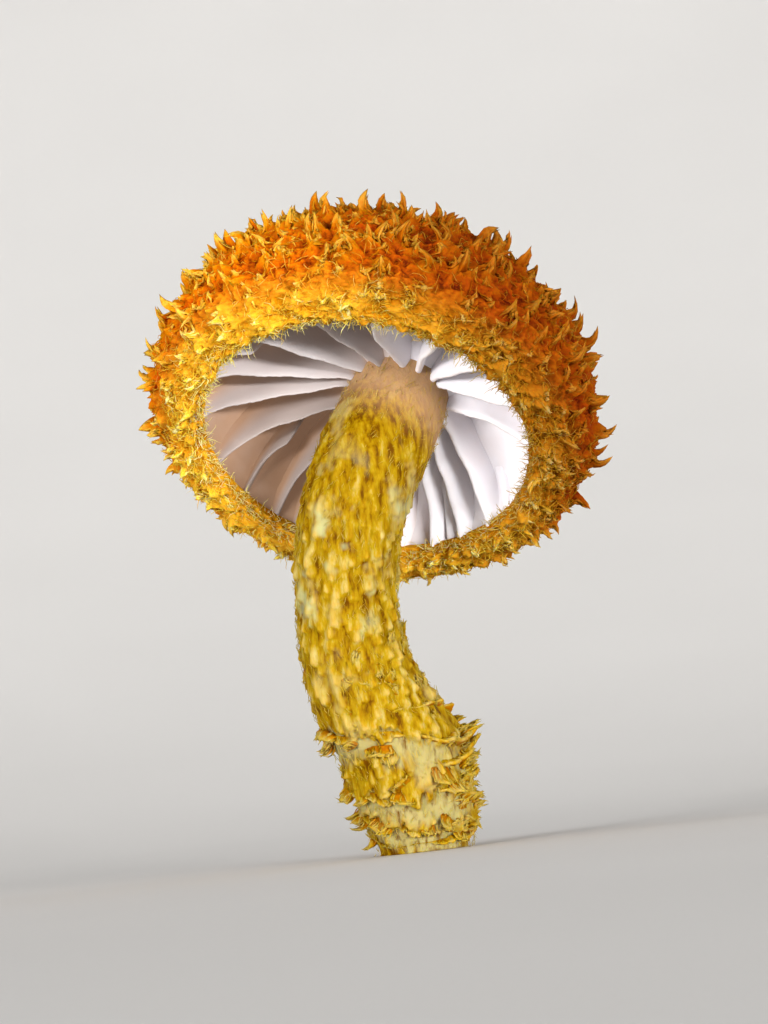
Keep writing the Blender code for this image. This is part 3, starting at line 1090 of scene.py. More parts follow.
@dataclass
class CapStrands:
    """Strands that run down each spine and along the crests towards its neighbours, as a matted net."""

    cap: CapShape
    horns: CapSpines
    flesh: CapFlesh
    finish: Material
    own_strands: int = 2
    neighbours: int = 2
    steps: int = 7
    width: float = 0.036
    loose_reach: Pair = (0.30, 0.55)
    stray: float = 0.45
    start: Pair = (0.62, 1.0)
    down_spine: Triple = (1.0, 0.66, 0.38)
    over_skin: Triple = (0.25, 0.5, 0.78)
    wobble: float = 0.035
    drift: float = 0.07
    least_reach: float = 0.16
    lift: Pair = (0.0, 0.05)

    def routes(self, rng: np.random.Generator) -> tuple[Array, Array]:
        """Which spine each strand comes down, and the point of the skin that it runs towards.

        Args:
            rng: The random draws.

        Returns:
            Numbers of spines, shape (n,), and points, shape (n, 3).
        """
        spines = self.horns.spines
        foot = spines.foot[: spines.sites]
        gap = np.linalg.norm(foot[:, None] - foot[None], axis=2)
        near = np.argsort(gap, axis=1)[:, 1 : self.neighbours + 1]
        start = np.repeat(np.arange(spines.sites), self.neighbours)
        end = near.ravel()
        short = gap[start, end] < self.flesh.longest_crest
        start, end = start[short], end[short]
        own = np.repeat(np.arange(len(spines.foot)), self.own_strands)
        free = unit(np.cross(spines.outward[own], rng.normal(0, 1, (len(own), 3))))
        loose = spines.foot[own] + free * rng.uniform(*self.loose_reach, (len(own), 1))
        return np.concatenate([start, own]), np.concatenate([foot[end], loose])

    def build(self) -> Piece:
        """Makes the strands, each a smooth curve down a spine's side and over the raised fleece.

        Returns:
            The piece.
        """
        rng = Scatter.CAP_STRANDS.draw()
        own, target = self.routes(rng)
        total = len(own)
        spines, last = self.horns.spines, self.horns.steps - 1
        centre, wide = self.horns.paths()[own], self.horns.widths()[own]
        foot, outward = spines.foot[own], spines.outward[own]
        away = target - foot
        length = np.linalg.norm(away, axis=1)[:, None]
        away = unit(away - outward * (away * outward).sum(1)[:, None])
        side = np.cross(outward, away)
        away = unit(away + side * rng.normal(0, self.stray, (total, 1)))
        top = rng.uniform(*self.start, total)
        controls = []
        for share in self.down_spine:
            at = top * share * last
            low = np.minimum(at.astype(int), last - 1)
            part = (at - low)[:, None]
            row = np.arange(total)
            line = centre[row, low] * (1 - part) + centre[row, low + 1] * part
            half = wide[row, low][:, None] * (1 - part) + wide[row, low + 1][:, None] * part
            controls.append(line + away * half * 0.8 + rng.normal(0, self.wobble, (total, 3)) * share)
        for share in self.over_skin:
            drift = side * rng.normal(0, self.drift, (total, 1)) * (share + 0.3)
            place, up = self.flesh.ground(foot + away * np.maximum(length * share, self.least_reach) + drift)
            controls.append(place + up * rng.uniform(*self.lift, (total, 1)))
        paths = through(np.stack(controls, 1), self.steps)
        q = np.linspace(0, 1, self.steps)[None]
        swell = 0.45 + 1.1 * np.sin(math.pi * np.minimum(q + 0.12, 1))
        thin = self.width * rng.uniform(*UNEVEN_WIDTH, (total, 1)) * swell
        rise = np.clip(0.92 - 0.42 * q + rng.normal(0, 0.10, (total, 1)), 0, 1)
        margin = self.horns.margin()[own][:, :1] + 0.0 * q
        strands = self.cap.strands(paths, thin, unit(outward + 0.01))
        return strands.surface(rise=rise, margin=margin).object("cap_strands", self.finish)


@dataclass
class CapFuzz:
    """Fine matted fibres that lie over the skin between the spines."""

    cap: CapShape
    flesh: CapFlesh
    finish: Material
    count: int = 3600
    tries_each: int = 3
    past_margin: float = 0.1
    steps: int = 5
    length: Pair = (0.25, 0.65)
    width: float = 0.015
    arch: Pair = (0.03, 0.13)
    least_arch: float = 0.01
    curl: float = 0.25
    stray: float = 0.03

    def build(self) -> Piece:
        """Makes the fibres: short arcs in random directions, held a little above the fleece.

        Returns:
            The piece.
        """
        rng = Scatter.CAP_FUZZ.draw()
        tries = self.count * self.tries_each
        distance = rng.uniform(0, self.cap.margin_at() + self.past_margin, tries)
        bearing = rng.uniform(-math.pi, math.pi, tries)
        place, outward = self.cap.at(distance, bearing)
        keep = np.flatnonzero(rng.uniform(0, self.cap.radius, tries) < np.hypot(place[:, 0], place[:, 1]))
        keep = keep[: self.count]
        place, outward, distance = place[keep], outward[keep], distance[keep]
        count = len(keep)
        heading = unit(np.cross(outward, rng.normal(0, 1, (count, 3))))
        q = np.linspace(0, 1, self.steps)[None, :, None]
        length = rng.uniform(*self.length, (count, 1, 1))
        curl = rng.normal(0, self.curl, (count, 1, 1)) * length
        rough = place[:, None] + heading[:, None] * (q - 0.5) * length
        rough = rough + np.cross(outward, heading)[:, None] * curl * (q - 0.5) ** 2 * 4
        ground, up = self.flesh.ground(rough.reshape(-1, 3))
        arch = rng.uniform(*self.arch, (count, 1, 1)) * np.sin(math.pi * q**0.8) + self.least_arch
        paths = ground.reshape(count, self.steps, 3) + up.reshape(count, self.steps, 3) * arch
        paths = paths + rng.normal(0, self.stray, (count, self.steps, 3)) * q
        thin = strand_widths(rng, self.width, q, count)
        rise = np.clip(rng.normal(0.5, 0.16, (count, 1)) + 0.2 * np.sin(math.pi * q[..., 0]), 0, 1)
        margin = np.repeat(self.flesh.margin_share(distance)[:, None], self.steps, axis=1)
        fibres = self.cap.strands(paths, thin, unit(outward + 0.013))
        return fibres.surface(rise=rise, margin=margin).object("cap_fuzz", self.finish)


@dataclass
class MarginWool:
    """The woolly edge of the cap: short curled fibres round the margin, the innermost over the gills."""

    cap: CapShape
    flesh: CapFlesh
    finish: Material
    count: int = 4300
    steps: int = 6
    length: Pair = (0.16, 0.46)
    width: float = 0.017
    band: Triple = (-1.5, 0.45, 0.62)
    sunk: float = 0.06
    outward_lean: Pair = (0.05, 0.5)
    inward_lean: Pair = (-0.2, 0.7)
    sideways: float = 0.9
    down: float = 0.6
    wander: float = 0.045

    def build(self) -> Piece:
        """Makes the wool: each fibre wanders from a foot on the margin, more loosely towards its tip.

        Returns:
            The piece.
        """
        rng = Scatter.MARGIN_WOOL.draw()
        edge = self.cap.margin_at()
        distance = edge + rng.triangular(*self.band, self.count)
        bearing = rng.uniform(-math.pi, math.pi, self.count)
        place, outward = self.cap.at(distance, bearing)
        raised = (self.flesh.relief(place) - self.sunk) * self.flesh.shown(distance)
        inward = np.stack([-np.cos(bearing), -np.sin(bearing), np.zeros(self.count)], 1)
        around = np.stack([-np.sin(bearing), np.cos(bearing), np.zeros(self.count)], 1)
        q = np.linspace(0, 1, self.steps)[None, :, None]
        length = rng.uniform(*self.length, (self.count, 1, 1))
        inner = smooth((distance - edge + 0.4) / 0.7)[:, None]
        lean = outward * rng.uniform(*self.outward_lean, (self.count, 1))
        lean = lean + inward * inner * rng.uniform(*self.inward_lean, (self.count, 1))
        down = np.cross(around, outward) * rng.normal(0, self.down, (self.count, 1))
        lean = unit(lean + around * rng.normal(0, self.sideways, (self.count, 1)) + down)
        wander = np.cumsum(rng.normal(0, self.wander, (self.count, self.steps, 3)), axis=1) * q
        paths = place[:, None] + lean[:, None] * q * length + wander
        paths = paths + outward[:, None] * (raised[:, None, None] - 0.02 * (1 - q))
        thin = strand_widths(rng, self.width, q, self.count)
        rise = np.clip(0.30 + 0.35 * q[..., 0] + rng.normal(0, 0.14, (self.count, 1)) + 0.40 * inner, 0, 1)
        margin = self.flesh.margin_share(distance)[:, None] + 0 * q[..., 0]
        fibres = self.cap.strands(paths, thin, unit(outward + 0.011))
        return fibres.surface(rise=rise, margin=margin).object("margin_wool", self.finish)


@dataclass(frozen=True)
class Gill:
    """One gill: the bearing where it meets the margin in degrees, and its own form.

    Start is how far out it begins, twist how many degrees round the stem its inner end lies, lean how far
    its free edge hangs to one side in millimetres, and even how evenly the edge falls to the margin on the
    far side.
    """

    bearing: float
    twist: float = 0.0
    start: float = 0.0
    lean: float = 0.0
    even: float = 0.0


@dataclass
class Gills:
    """The gills: wavy plates from the stem to the margin, with shorter ones between, under a thin bed."""

    cap: CapShape
    finish: Material
    plates: tuple[Gill, ...] = (
        Gill(0, 6, lean=-0.15),
        Gill(38, -32, lean=0.25, even=0.7),
        Gill(51, -18, lean=0.40, even=0.5),
        Gill(61, -14, lean=0.45, even=0.2),
        Gill(75, -4, lean=0.50),
        Gill(90, 2),
        Gill(108, 2),
        Gill(126, 2),
        Gill(157, 3, even=0.2),
        Gill(180, 20, even=0.5),
        Gill(199, 10),
        Gill(225, 3),
        Gill(250, 2, lean=-0.1),
        Gill(279, 4, lean=-0.75),
        Gill(298, 2, lean=-0.2),
        Gill(315, 4),
        Gill(338, -14),
        Gill(32, start=0.78),
        Gill(56, -6, start=0.58, lean=0.35),
        Gill(99, start=0.4),
        Gill(117, start=0.45),
        Gill(138, 4, start=0.50, lean=0.1),
        Gill(212, start=0.62),
        Gill(238, start=0.66),
        Gill(265, start=0.62),
        Gill(288, start=0.72),
        Gill(307, start=0.72),
        Gill(327, start=0.75),
        Gill(349, start=0.80),
    )
    hub: Pair = (0.70, 0.0)
    hub_radius: float = 1.25
    margin_reach: float = 5.30
    overrun: float = 1.085
    stem_edge: float = 0.55
    margin_edge: float = -1.22
    half_thickness: float = 0.13
    thin_edge: float = 0.36
    thick_edge: float = 0.85
    wave: Pair = (0.04, 0.12)
    tan_reach: float = 0.14
    tan_at_stem: float = 0.65
    rows: int = 46
    loop: int = 22
    root_overlap: float = 0.12
    least_depth: float = 0.10
    root_thickness: float = 1.3
    round_from: float = 0.86
    farthest_fall: float = 1.06
    far_middle: float = 100.0
    short_fade: float = 0.22
    short_lift: float = 0.22
    bed: float = 0.30
    bed_reach: float = 5.45
    bed_back: float = 0.7
    bed_spread: float = 1.03
    wall_rise: float = 2.6
    shallow: float = 1.0
    shallow_from: float = 2.4
    shallow_fade: float = 1.6
    notch: float = 0.02
    ripple: float = 0.03
    collar_radius: float = 1.45
    collar_height: float = 0.80
    collar_slope: Pair = (0.25, 0.75)
    bed_rows: int = 22
    bed_columns: int = 96

    def roof(self, places: Array) -> Array:
        """Height of the bed's lower face: the hollow's roof less the bed, drawn down round the stem.

        Args:
            places: Points across the cap's axis, shape (n, 2).

        Returns:
            Heights in the cap's frame, shape (n,).
        """
        radius = np.linalg.norm(places, axis=1)
        lift = np.sqrt(np.clip(1 - (radius / self.cap.hollow_radius) ** 2, 0, 1)) ** self.cap.hollow_power
        hollow = self.cap.hollow_widest + self.cap.hollow_rise * lift - self.bed
        clear = np.clip(np.linalg.norm(places - np.array(self.hub), axis=1) - self.collar_radius, 0, None)
        even, steeper = self.collar_slope
        collar = self.collar_height + even * clear + steeper * clear**1.5
        wall = self.cap.opening_height + self.wall_rise * np.clip(self.bed_reach - radius, 0, None) ** 0.6
        lit = self.lit_side(np.arctan2(places[:, 1], places[:, 0]))
        lowered = self.shallow * smooth((radius - self.shallow_from) / self.shallow_fade) * lit
        return lowered_least(hollow - lowered, collar - lowered, wall)

    @staticmethod
    def towards(angle: float) -> Array:
        """The direction across the cap's axis at an angle in radians, shape (2,)."""
        return np.array([math.cos(angle), math.sin(angle)])

    @staticmethod
    def lit_side(bearing: Array) -> Array:
        """1 to the right, where the gills are thick and their flesh is painted as lit, and 0 to the left;
        bearings in radians.
        """
        return smooth(0.5 + 0.9 * np.cos(bearing + 0.09))

    @staticmethod
    def shaded_side(bearing: Array) -> Array:
        """1 on the far left, where painted shade browns the gills towards the margin, and 0 elsewhere."""
        return smooth(1.6 * np.cos(bearing - 2.5))

    @staticmethod
    def pale_side(bearing: Array) -> Array:
        """1 to the right, less at the near side and 0 at the far left: how far the gills are painted as lit
        rather than shaded.
        """
        return np.maximum(Gills.lit_side(bearing), 0.35 * smooth(0.2 + 0.9 * np.cos(bearing - 4.4)))

    def edge(self, along: Array, gill: Gill, top: Array) -> Array:
        """Height of a gill's free edge along it.

        It falls from the stem to the margin: evenly on the near side, and late and steeply on the far side.

        Args:
            along: 0 at the stem and 1 at the margin.
            gill: The gill.
            top: Height of the gill's root along it.

        Returns:
            Heights in the cap's frame.
        """
        facing = math.cos(math.radians(gill.bearing - self.far_middle))
        far = float(smooth(np.array(0.5 + 0.75 * facing))) * (1 - gill.even)
        even = along**1.15
        late = 0.12 * along + 0.88 * along**7
        fall = np.minimum((1 - far) * even + far * late, self.farthest_fall)
        height = self.stem_edge + (self.margin_edge - self.stem_edge) * fall
        if gill.start > 0:
            begun = smooth((along - gill.start) / self.short_fade)
            height = top + (height + self.short_lift - top) * begun
        return height

    def plate(self, gill: Gill, wave: float, phase: float) -> Surface:
        """One gill: a loop round its section, carried from the stem to the margin.

        The loop goes down one face, round the free edge and up the other. The half thickness is full at the
        root and eases to the round edge.

        Args:
            gill: Its place and form.
            wave: How far it winds from side to side, in millimetres.
            phase: Where in the wave it starts, in radians.

        Returns:
            The closed plate in the cap's frame.
        """
        angle = math.radians(gill.bearing)
        inner = self.towards(math.radians(gill.bearing + gill.twist)) * self.hub_radius + np.array(self.hub)
        outer = self.towards(angle) * self.margin_reach
        rows = int(self.rows * (1 - 0.6 * gill.start))
        along = np.linspace(gill.start, self.overrun, rows)
        line = inner + (outer - inner) * along[:, None]
        across = unit(np.array([-(outer - inner)[1], (outer - inner)[0]]))
        top = self.roof(line) + self.root_overlap
        low = np.minimum(self.edge(along, gill, top), top - self.least_depth)
        low = low + self.notch * np.sin(along * 95 + phase) * np.sin(along * 41 + 2 * phase)
        turn = np.linspace(0, 1, self.loop + 1)
        down = np.clip(1 - np.abs(2 * turn - 1) ** 1.6, 0, 1)
        sign = np.sign(0.5 - turn)
        near_edge = np.clip((down - self.round_from) / (1 - self.round_from), 0, 1)
        rounded = np.sqrt(np.clip(1 - near_edge**2, 0, 1))
        at_edge = self.thin_edge + (self.thick_edge - self.thin_edge) * self.lit_side(angle)
        swelling = self.root_thickness + (at_edge - self.root_thickness) * down
        thick = self.half_thickness * swelling * rounded * sign
        widening = 0.8 + 0.35 * along
        winding = wave * np.sin(phase + 4.6 * along) * smooth(along / 0.25 + 0.15)
        hang = gill.lean * smooth(along / 0.9 + 0.1)
        ripple = self.ripple * np.sin(phase * 3 + 17 * along)
        depth = down[None, :]
        drop = top[:, None] * (1 - depth) + low[:, None] * depth
        sway = winding[:, None] * (0.35 + 0.65 * depth) + ripple[:, None] * depth**2
        sway = sway + hang[:, None] * depth**1.3
        offset = sway + thick[None, :] * widening[:, None]
        places = np.empty((rows, self.loop + 1, 3))
        places[..., :2] = line[:, None] + across * offset[..., None]
        places[..., 2] = drop
        flat = places.reshape(-1, 3)
        ends_at = np.array([places[0].mean(0), places[-1].mean(0)])
        outward = slice(None, None, -1 if self.flips(places) else 1)
        # Painted shade, kept as the value depth: the flesh browns towards the root, less on the lit right,
        # more towards the margin on the far left, and more by the stem.
        tan = self.shaded_side(angle) * (0.20 + 0.36 * along[:, None] ** 2) * (0.3 + 0.7 * (1 - depth) ** 0.5)
        tan = tan + self.tan_at_stem * (1 - smooth(along[:, None] / self.tan_reach))
        shade = ((1 - depth) ** 1.1 * (0.9 - 0.78 * self.pale_side(angle)) + tan).ravel()
        return Surface(
            np.concatenate([flat, ends_at]),
            wrapped_grid(rows, self.loop + 1)[:, outward],
            end_fans(self.loop + 1, rows, 0, len(flat), len(flat) + 1)[:, outward],
            {
                "depth": np.concatenate([shade, [0.5, 0.5]]),
                "shaded": np.full(len(flat) + 2, 1 - self.pale_side(angle)),
            },
        )

    @staticmethod
    def flips(places: Array) -> bool:
        """Whether a carried loop's faces point inwards, by which way its middle ring turns."""
        ring = places[len(places) // 2]
        heading = places[len(places) // 2 + 1].mean(0) - ring.mean(0)
        spokes = ring - ring.mean(0)
        area = np.cross(spokes, np.roll(spokes, -1, axis=0)).sum(0)
        return bool(area @ heading > 0)

    def ceiling(self) -> Surface:
        """The bed that the gills hang from: a closed shell under the hollow's roof, round the stem."""
        turn = np.linspace(0, TURN, self.bed_columns, endpoint=False)
        spoke = np.stack([np.cos(turn), np.sin(turn)], 1)
        hub = np.array(self.hub)
        share = np.linspace(0.03, 1, self.bed_rows)[:, None, None] ** 0.8
        level = hub + (spoke * self.bed_reach - hub) * share
        low = self.roof(level.reshape(-1, 2)).reshape(self.bed_rows, -1)
        lower = np.concatenate([level, low[..., None]], axis=2)
        raised = self.bed * self.bed_back
        upper = lower[::-1] * np.array([self.bed_spread, self.bed_spread, 1.0]) + np.array([0.0, 0.0, raised])
        rings = np.concatenate([lower, upper])
        middles = np.array([[*hub, low[0].mean()], [*hub, low[0].mean() + raised]])
        count = len(rings) * self.bed_columns
        # Painted shade on the bed, kept as the value depth: darker on the shaded left and near the stem,
        # lighter on the lit right.
        near = np.exp(-np.linalg.norm(rings[..., :2] - hub, axis=2) / 2.2).ravel()
        around = 0.72 - 0.58 * self.pale_side(turn) + 0.25 * self.shaded_side(turn)
        return Surface(
            np.concatenate([rings.reshape(-1, 3), middles]),
            wrapped_grid(len(rings), self.bed_columns),
            end_fans(self.bed_columns, len(rings), 0, count, count + 1),
            {
                "depth": np.concatenate([np.tile(around, len(rings)) + 0.25 * near, [0.8, 0.8]]),
                "shaded": np.concatenate([np.tile(1 - self.pale_side(turn), len(rings)), [0.5, 0.5]]),
            },
        )

    def build(self) -> Piece:
        """Makes the gills and their bed.

        Returns:
            The piece.
        """
        rng = Scatter.GILLS.draw()
        parts = [self.plate(gill, rng.uniform(*self.wave), rng.uniform(0, TURN)) for gill in self.plates]
        parts.append(self.ceiling())
        whole = Surface.joined(parts)
        whole.places = self.cap.placed(whole.places)
        made = whole.object("gill_plates", self.finish)
        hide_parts("gills")
        return made


@dataclass(frozen=True)
class StemShape:
    """The stem's centre line and radius, foot to top."""

    line: tuple[tuple[float, float, float, float], ...] = (
        (-0.05, 0.05, -0.40, 1.46),
        (-0.05, -0.20, 0.99, 1.66),
        (-0.22, -0.55, 2.28, 1.86),
        (-0.55, -0.90, 3.52, 1.92),
        (-1.20, -1.25, 4.93, 1.78),
        (-1.54, -1.50, 6.22, 1.67),
        (-1.61, -1.72, 7.79, 1.58),
        (-1.44, -1.80, 9.35, 1.60),
        (-1.08, -1.72, 10.85, 1.63),
        (-0.55, -1.45, 12.10, 1.66),
        (0.05, -1.00, 13.20, 1.68),
        (0.50, -0.50, 13.98, 1.66),
        (0.80, 0.05, 14.66, 1.62),
        (1.06, 0.66, 15.48, 1.58),
    )
    samples: int = 400

    def table(self) -> tuple[Array, Array, Array]:
        """The line finely sampled, with two unit vectors square to it at each point."""
        fine = smooth_line(np.array(self.line), self.samples)
        heading = unit(np.gradient(fine[:, :3], axis=0))
        side = unit(np.cross(heading, np.array([0.0, -1.0, 0.0])))
        return fine, side, np.cross(heading, side)

    def up_at(self, height: Array) -> Array:
        """Share of the way up the stem at which its line is at a height in millimetres."""
        fine, _, _ = self.table()
        return np.interp(height, fine[:, 2], np.linspace(0, 1, self.samples))

    def at(self, up: Array, bearing: Array) -> tuple[Array, Array, Array]:
        """Points of the stem's smooth skin.

        The point is line(up) + radius(up) (cos b * side + sin b * back); side faces about +X, back +Y.

        Args:
            up: 0 at the foot and 1 at the top, shape (n,).
            bearing: Radians round the stem, shape (n,).

        Returns:
            Places, outward directions and directions up the stem, each of shape (n, 3).
        """
        fine, side, front = self.table()
        where = np.linspace(0, 1, self.samples)
        point = np.stack([np.interp(up, where, fine[:, k]) for k in range(4)], -1)
        across = unit(np.stack([np.interp(up, where, side[:, k]) for k in range(3)], -1))
        ahead = unit(np.stack([np.interp(up, where, front[:, k]) for k in range(3)], -1))
        outward = across * np.cos(bearing)[:, None] + ahead * np.sin(bearing)[:, None]
        return point[:, :3] + outward * point[:, 3:], outward, np.cross(across, ahead)


@dataclass
class StemFlesh:
    """The stem's body: a tube along its line with fibrous streaks, soft lumps and pressed scales."""

    stem: StemShape
    finish: Material
    rows: int = 380
    columns: int = 150
    lump: float = 0.10
    streak: float = 0.035
    tuft_count: int = 430
    tuft_tries: int = 6000
    tuft_levels: Pair = (0.05, 0.80)
    tuft_gap: float = 0.30
    tuft_height: Pair = (0.12, 0.27)
    tuft_spread: Triple = (0.22, 0.52, 0.15)
    belts: tuple[Triple, ...] = ((1.15, -0.55, 0.0), (2.38, -0.38, 0.0), (3.75, -0.90, 0.45))
    step: float = 0.22
    ragged: float = 0.6
    length: float = 17.0
    usual_radius: float = 1.7
    streak_cells: Triple = (5.5, 5.5, 1.3)
    lump_cells: Triple = (1.5, 1.5, 1.0)
    lowered: float = 0.10
    bare_middle: float = 118.0
    batch: int = 4000

    def tufts(self, places: Array, outward: Array, along: Array) -> Array:
        """Height of the soft pointed tufts above the smooth skin.

        A tuft is its height times exp(-d^1.3), where d is the distance from its tip in units of its spread:
        one across, one up the stem and a much smaller one down the stem, so that it hangs like a soft scale.

        Args:
            places: Points of the smooth skin, shape (n, 3).
            outward: Outward directions there.
            along: Directions up the stem there.

        Returns:
            Heights, shape (n,).
        """
        rng = Scatter.STEM_TUFTS.draw()
        up = rng.uniform(*self.tuft_levels, self.tuft_tries)
        turn = rng.uniform(0, TURN, self.tuft_tries)
        tries, _, _ = self.stem.at(up, turn)
        kept = spaced(tries, self.tuft_gap, self.tuft_count, tries[:0])
        tip = tries[kept]
        size = rng.uniform(*self.tuft_height, len(kept)) * (1 - 0.6 * smooth((up[kept] - 0.55) / 0.25))
        across, above, below = self.tuft_spread
        heights = np.zeros(len(places))
        for start in range(0, len(places), self.batch):
            part = slice(start, start + self.batch)
            gap = places[part, None] - tip[None]
            rising = np.einsum("ijk,ik->ij", gap, along[part])
            total = (gap**2).sum(2) - np.einsum("ijk,ik->ij", gap, outward[part]) ** 2
            sideways = np.clip(total - rising**2, 0, None)
            scaled = np.sqrt(sideways / across**2 + (rising / np.where(rising > 0, above, below)) ** 2)
            heights[part] = (size * np.exp(-(scaled**1.3))).max(1)
        return heights

    def build(self) -> Piece:
        """Makes the stem's flesh, flat at the foot.

        Returns:
            The piece.
        """
        up = np.linspace(0, 1, self.rows)
        turn = np.linspace(0, TURN, self.columns, endpoint=False)
        u, b = (grid.ravel() for grid in np.meshgrid(up, turn, indexing="ij"))
        place, outward, along = self.stem.at(u, b)
        seed = Scatter.STEM_SKIN.value
        tube = np.stack([np.cos(b) * self.usual_radius, np.sin(b) * self.usual_radius, u * self.length], 1)
        streaks = layered_noise(tube * np.array(self.streak_cells), seed, 3)
        lumps = layered_noise(tube * np.array(self.lump_cells), seed + 5, 3)
        tufts = self.tufts(place, outward, along)
        shaggy = smooth((0.80 - u) / 0.25)
        lift = self.streak * streaks * (0.5 + 0.5 * shaggy) + self.lump * lumps * (0.35 + 0.65 * shaggy)
        steps, bare = np.zeros(len(u)), np.zeros(len(u))
        for level, rise, fore in self.belts:
            above = (u - self.stem.up_at(level + rise * np.cos(b) - fore * np.sin(b))) * self.length
            above = above + self.ragged * streaks + 0.4 * lumps
            steps = np.maximum(steps, smooth(above / 0.15 + 0.5) * np.exp(-np.clip(above, 0, None) / 0.6))
            bare = np.maximum(bare, smooth(-above / 0.25) * smooth((above + 1.25) / 0.5))
        bare = bare * smooth(0.5 + 0.9 * np.cos(b + math.radians(self.bare_middle)) + 0.8 * lumps)
        tufts = tufts * (1 - 0.75 * bare) * (1 - 0.5 * smooth((0.06 - u) / 0.04))
        lift = lift + tufts - self.lowered * shaggy + self.step * (steps - 0.25) * smooth((0.33 - u) / 0.05)
        place = place + outward * lift[:, None]
        place[:, 2] = np.maximum(place[:, 2], 0.0)
        quads = wrapped_grid(self.rows, self.columns)
        fans = end_fans(self.columns, self.rows, 0, len(place), len(place) + 1)
        foot, top = place[: self.columns].mean(0), place[-self.columns :].mean(0)
        rise = 0.14 + 0.10 * lumps + 0.60 * tufts / self.tuft_height[1]
        values = {"rise": np.concatenate([rise, [0.2, 0.2]]), "up": np.concatenate([u, [0, 1]])}
        values["scale"] = np.zeros(len(place) + 2)
        values["bare"] = np.concatenate([bare, [0, 0]])
        flesh = Surface(np.concatenate([place, [foot, top]]), quads, fans, values)
        made = flesh.object("stem_flesh", self.finish)
        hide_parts("stem")
        return made


@dataclass
class Flaps:
    """Many ragged tongues that leave a surface and curl away from it.

    A tongue's middle line turns from its heading towards outward: at a share b of its length L its angle off
    the skin is start + curl * b, so its place is L / curl * (sin angle - sin start) along the heading and
    L / curl * (cos start - cos angle) outward. A turn a round its flat section adds half its width times
    cos a across, and half its thickness times sin a square to the line. Each column of the section has its
    own length, which makes the free edge ragged, and bends back with the stem's roundness.
    """

    root: Array
    outward: Array
    heading: Array
    length: Array
    width: Array
    thick: Array
    start: Array
    curl: Array
    teeth: Array
    orange: Array
    steps: int = 6
    sides: int = 16
    stem_radius: float = 1.8
    rounding: float = 0.30
    middle_reach: float = 0.97

    def place(self, b: Array, x: Array, y: Array) -> Array:
        """Points of the tongues.

        Args:
            b: Share of the length, shape (tongues, points).
            x: Across the tongue from -1 to 1, the same shape.
            y: Through the tongue from -1 to 1, the same shape.

        Returns:
            Points, shape (tongues, points, 3).
        """
        start, curl, length = self.start[:, None], self.curl[:, None], self.length[:, None]
        angle = start + curl * b
        ahead = length * (np.sin(angle) - np.sin(start)) / curl
        lift = length * (np.cos(start) - np.cos(angle)) / curl
        half = self.width[:, None] / 2 * (0.80 + 0.35 * b - 0.25 * b**3)
        groove = 0.75 + 0.25 * np.cos(x * 9.0 + self.teeth[:, :1] * 40)
        deep = self.thick[:, None] / 2 * (1.15 - 0.8 * b) * groove
        bowed = (x * half) ** 2 / (2 * self.stem_radius)
        forward = ahead - y * deep * np.sin(angle)
        raised = lift + y * deep * np.cos(angle) - bowed
        across = np.cross(self.heading, self.outward)
        return (
            self.root[:, None]
            + self.heading[:, None] * forward[..., None]
            + self.outward[:, None] * raised[..., None]
            + across[:, None] * (x * half)[..., None]
        )

    def reach(self, x: Array) -> Array:
        """Length of each column across a tongue as a share of the whole: rounded and toothed."""
        across = np.linspace(-1, 1, self.teeth.shape[1])
        toothed = np.stack([np.interp(columns, across, row) for columns, row in zip(x, self.teeth)])
        return 1 - self.rounding * x**2 + toothed

    def surface(self, up: Array) -> Surface:
        """Builds all the tongues.

        Args:
            up: How far up the stem each one stands, shape (tongues,).

        Returns:
            The tongues as one surface.
        """
        count = len(self.root)
        turn = np.linspace(0, TURN, self.sides, endpoint=False)
        share = np.linspace(0, 1, self.steps)
        x = np.tile(np.cos(turn), (count, 1))
        full = np.repeat(share, self.sides)[None] * np.tile(self.reach(x), (1, self.steps))
        rings = self.place(full, np.tile(x, (1, self.steps)), np.tile(np.sin(turn), (count, self.steps)))
        zero = np.zeros((count, 1))
        middle = self.reach(zero)
        root, tip = self.place(zero, zero, zero), self.place(middle * self.middle_reach, zero, zero)
        places = np.concatenate([root, rings, tip], axis=1)
        each = places.shape[1]
        fans = end_fans(self.sides, self.steps, 1, 0, each - 1)
        offset = (np.arange(count) * each)[:, None, None]
        rise = np.concatenate([zero, full, middle], axis=1)
        shown = 0.30 - 0.20 * self.orange[:, None] + 0.66 * rise**1.5
        values = {"rise": shown.ravel(), "up": np.repeat(up, each), "scale": np.repeat(self.orange, each)}
        values["bare"] = np.zeros(count * each)
        quads = wrapped_grid(self.steps, self.sides) + 1 + offset
        return Surface(places.reshape(-1, 3), quads.reshape(-1, 4), (fans + offset).reshape(-1, 3), values)


@dataclass(frozen=True)
class Belt:
    """One band of scales on the stem, all lengths in millimetres and angles in degrees."""

    low: float
    high: float
    count: int
    length: Pair
    width: Pair
    curl: Pair
    start: Pair
    thick: float
    orange: float = 1.0
    tilt: float = 0.0
    middle: float = 0.0
    spread: float = 180.0


@dataclass(frozen=True)
class Scale:
    """One scale that stands out in the photograph, in the same units as a belt."""

    height: float
    bearing: float
    length: float
    width: float
    curl: float
    start: float
    thick: float
    way: float


@dataclass(frozen=True)
class Ruff:
    """One collar of scales that have grown together.

    Its height, its rise to the right, its length in front, its thickness, its shares of that length on the
    left and on the right, and its rise to the front.
    """

    height: float
    rise: float
    length: float
    thick: float
    left: float
    right: float
    fore: float = 0.0


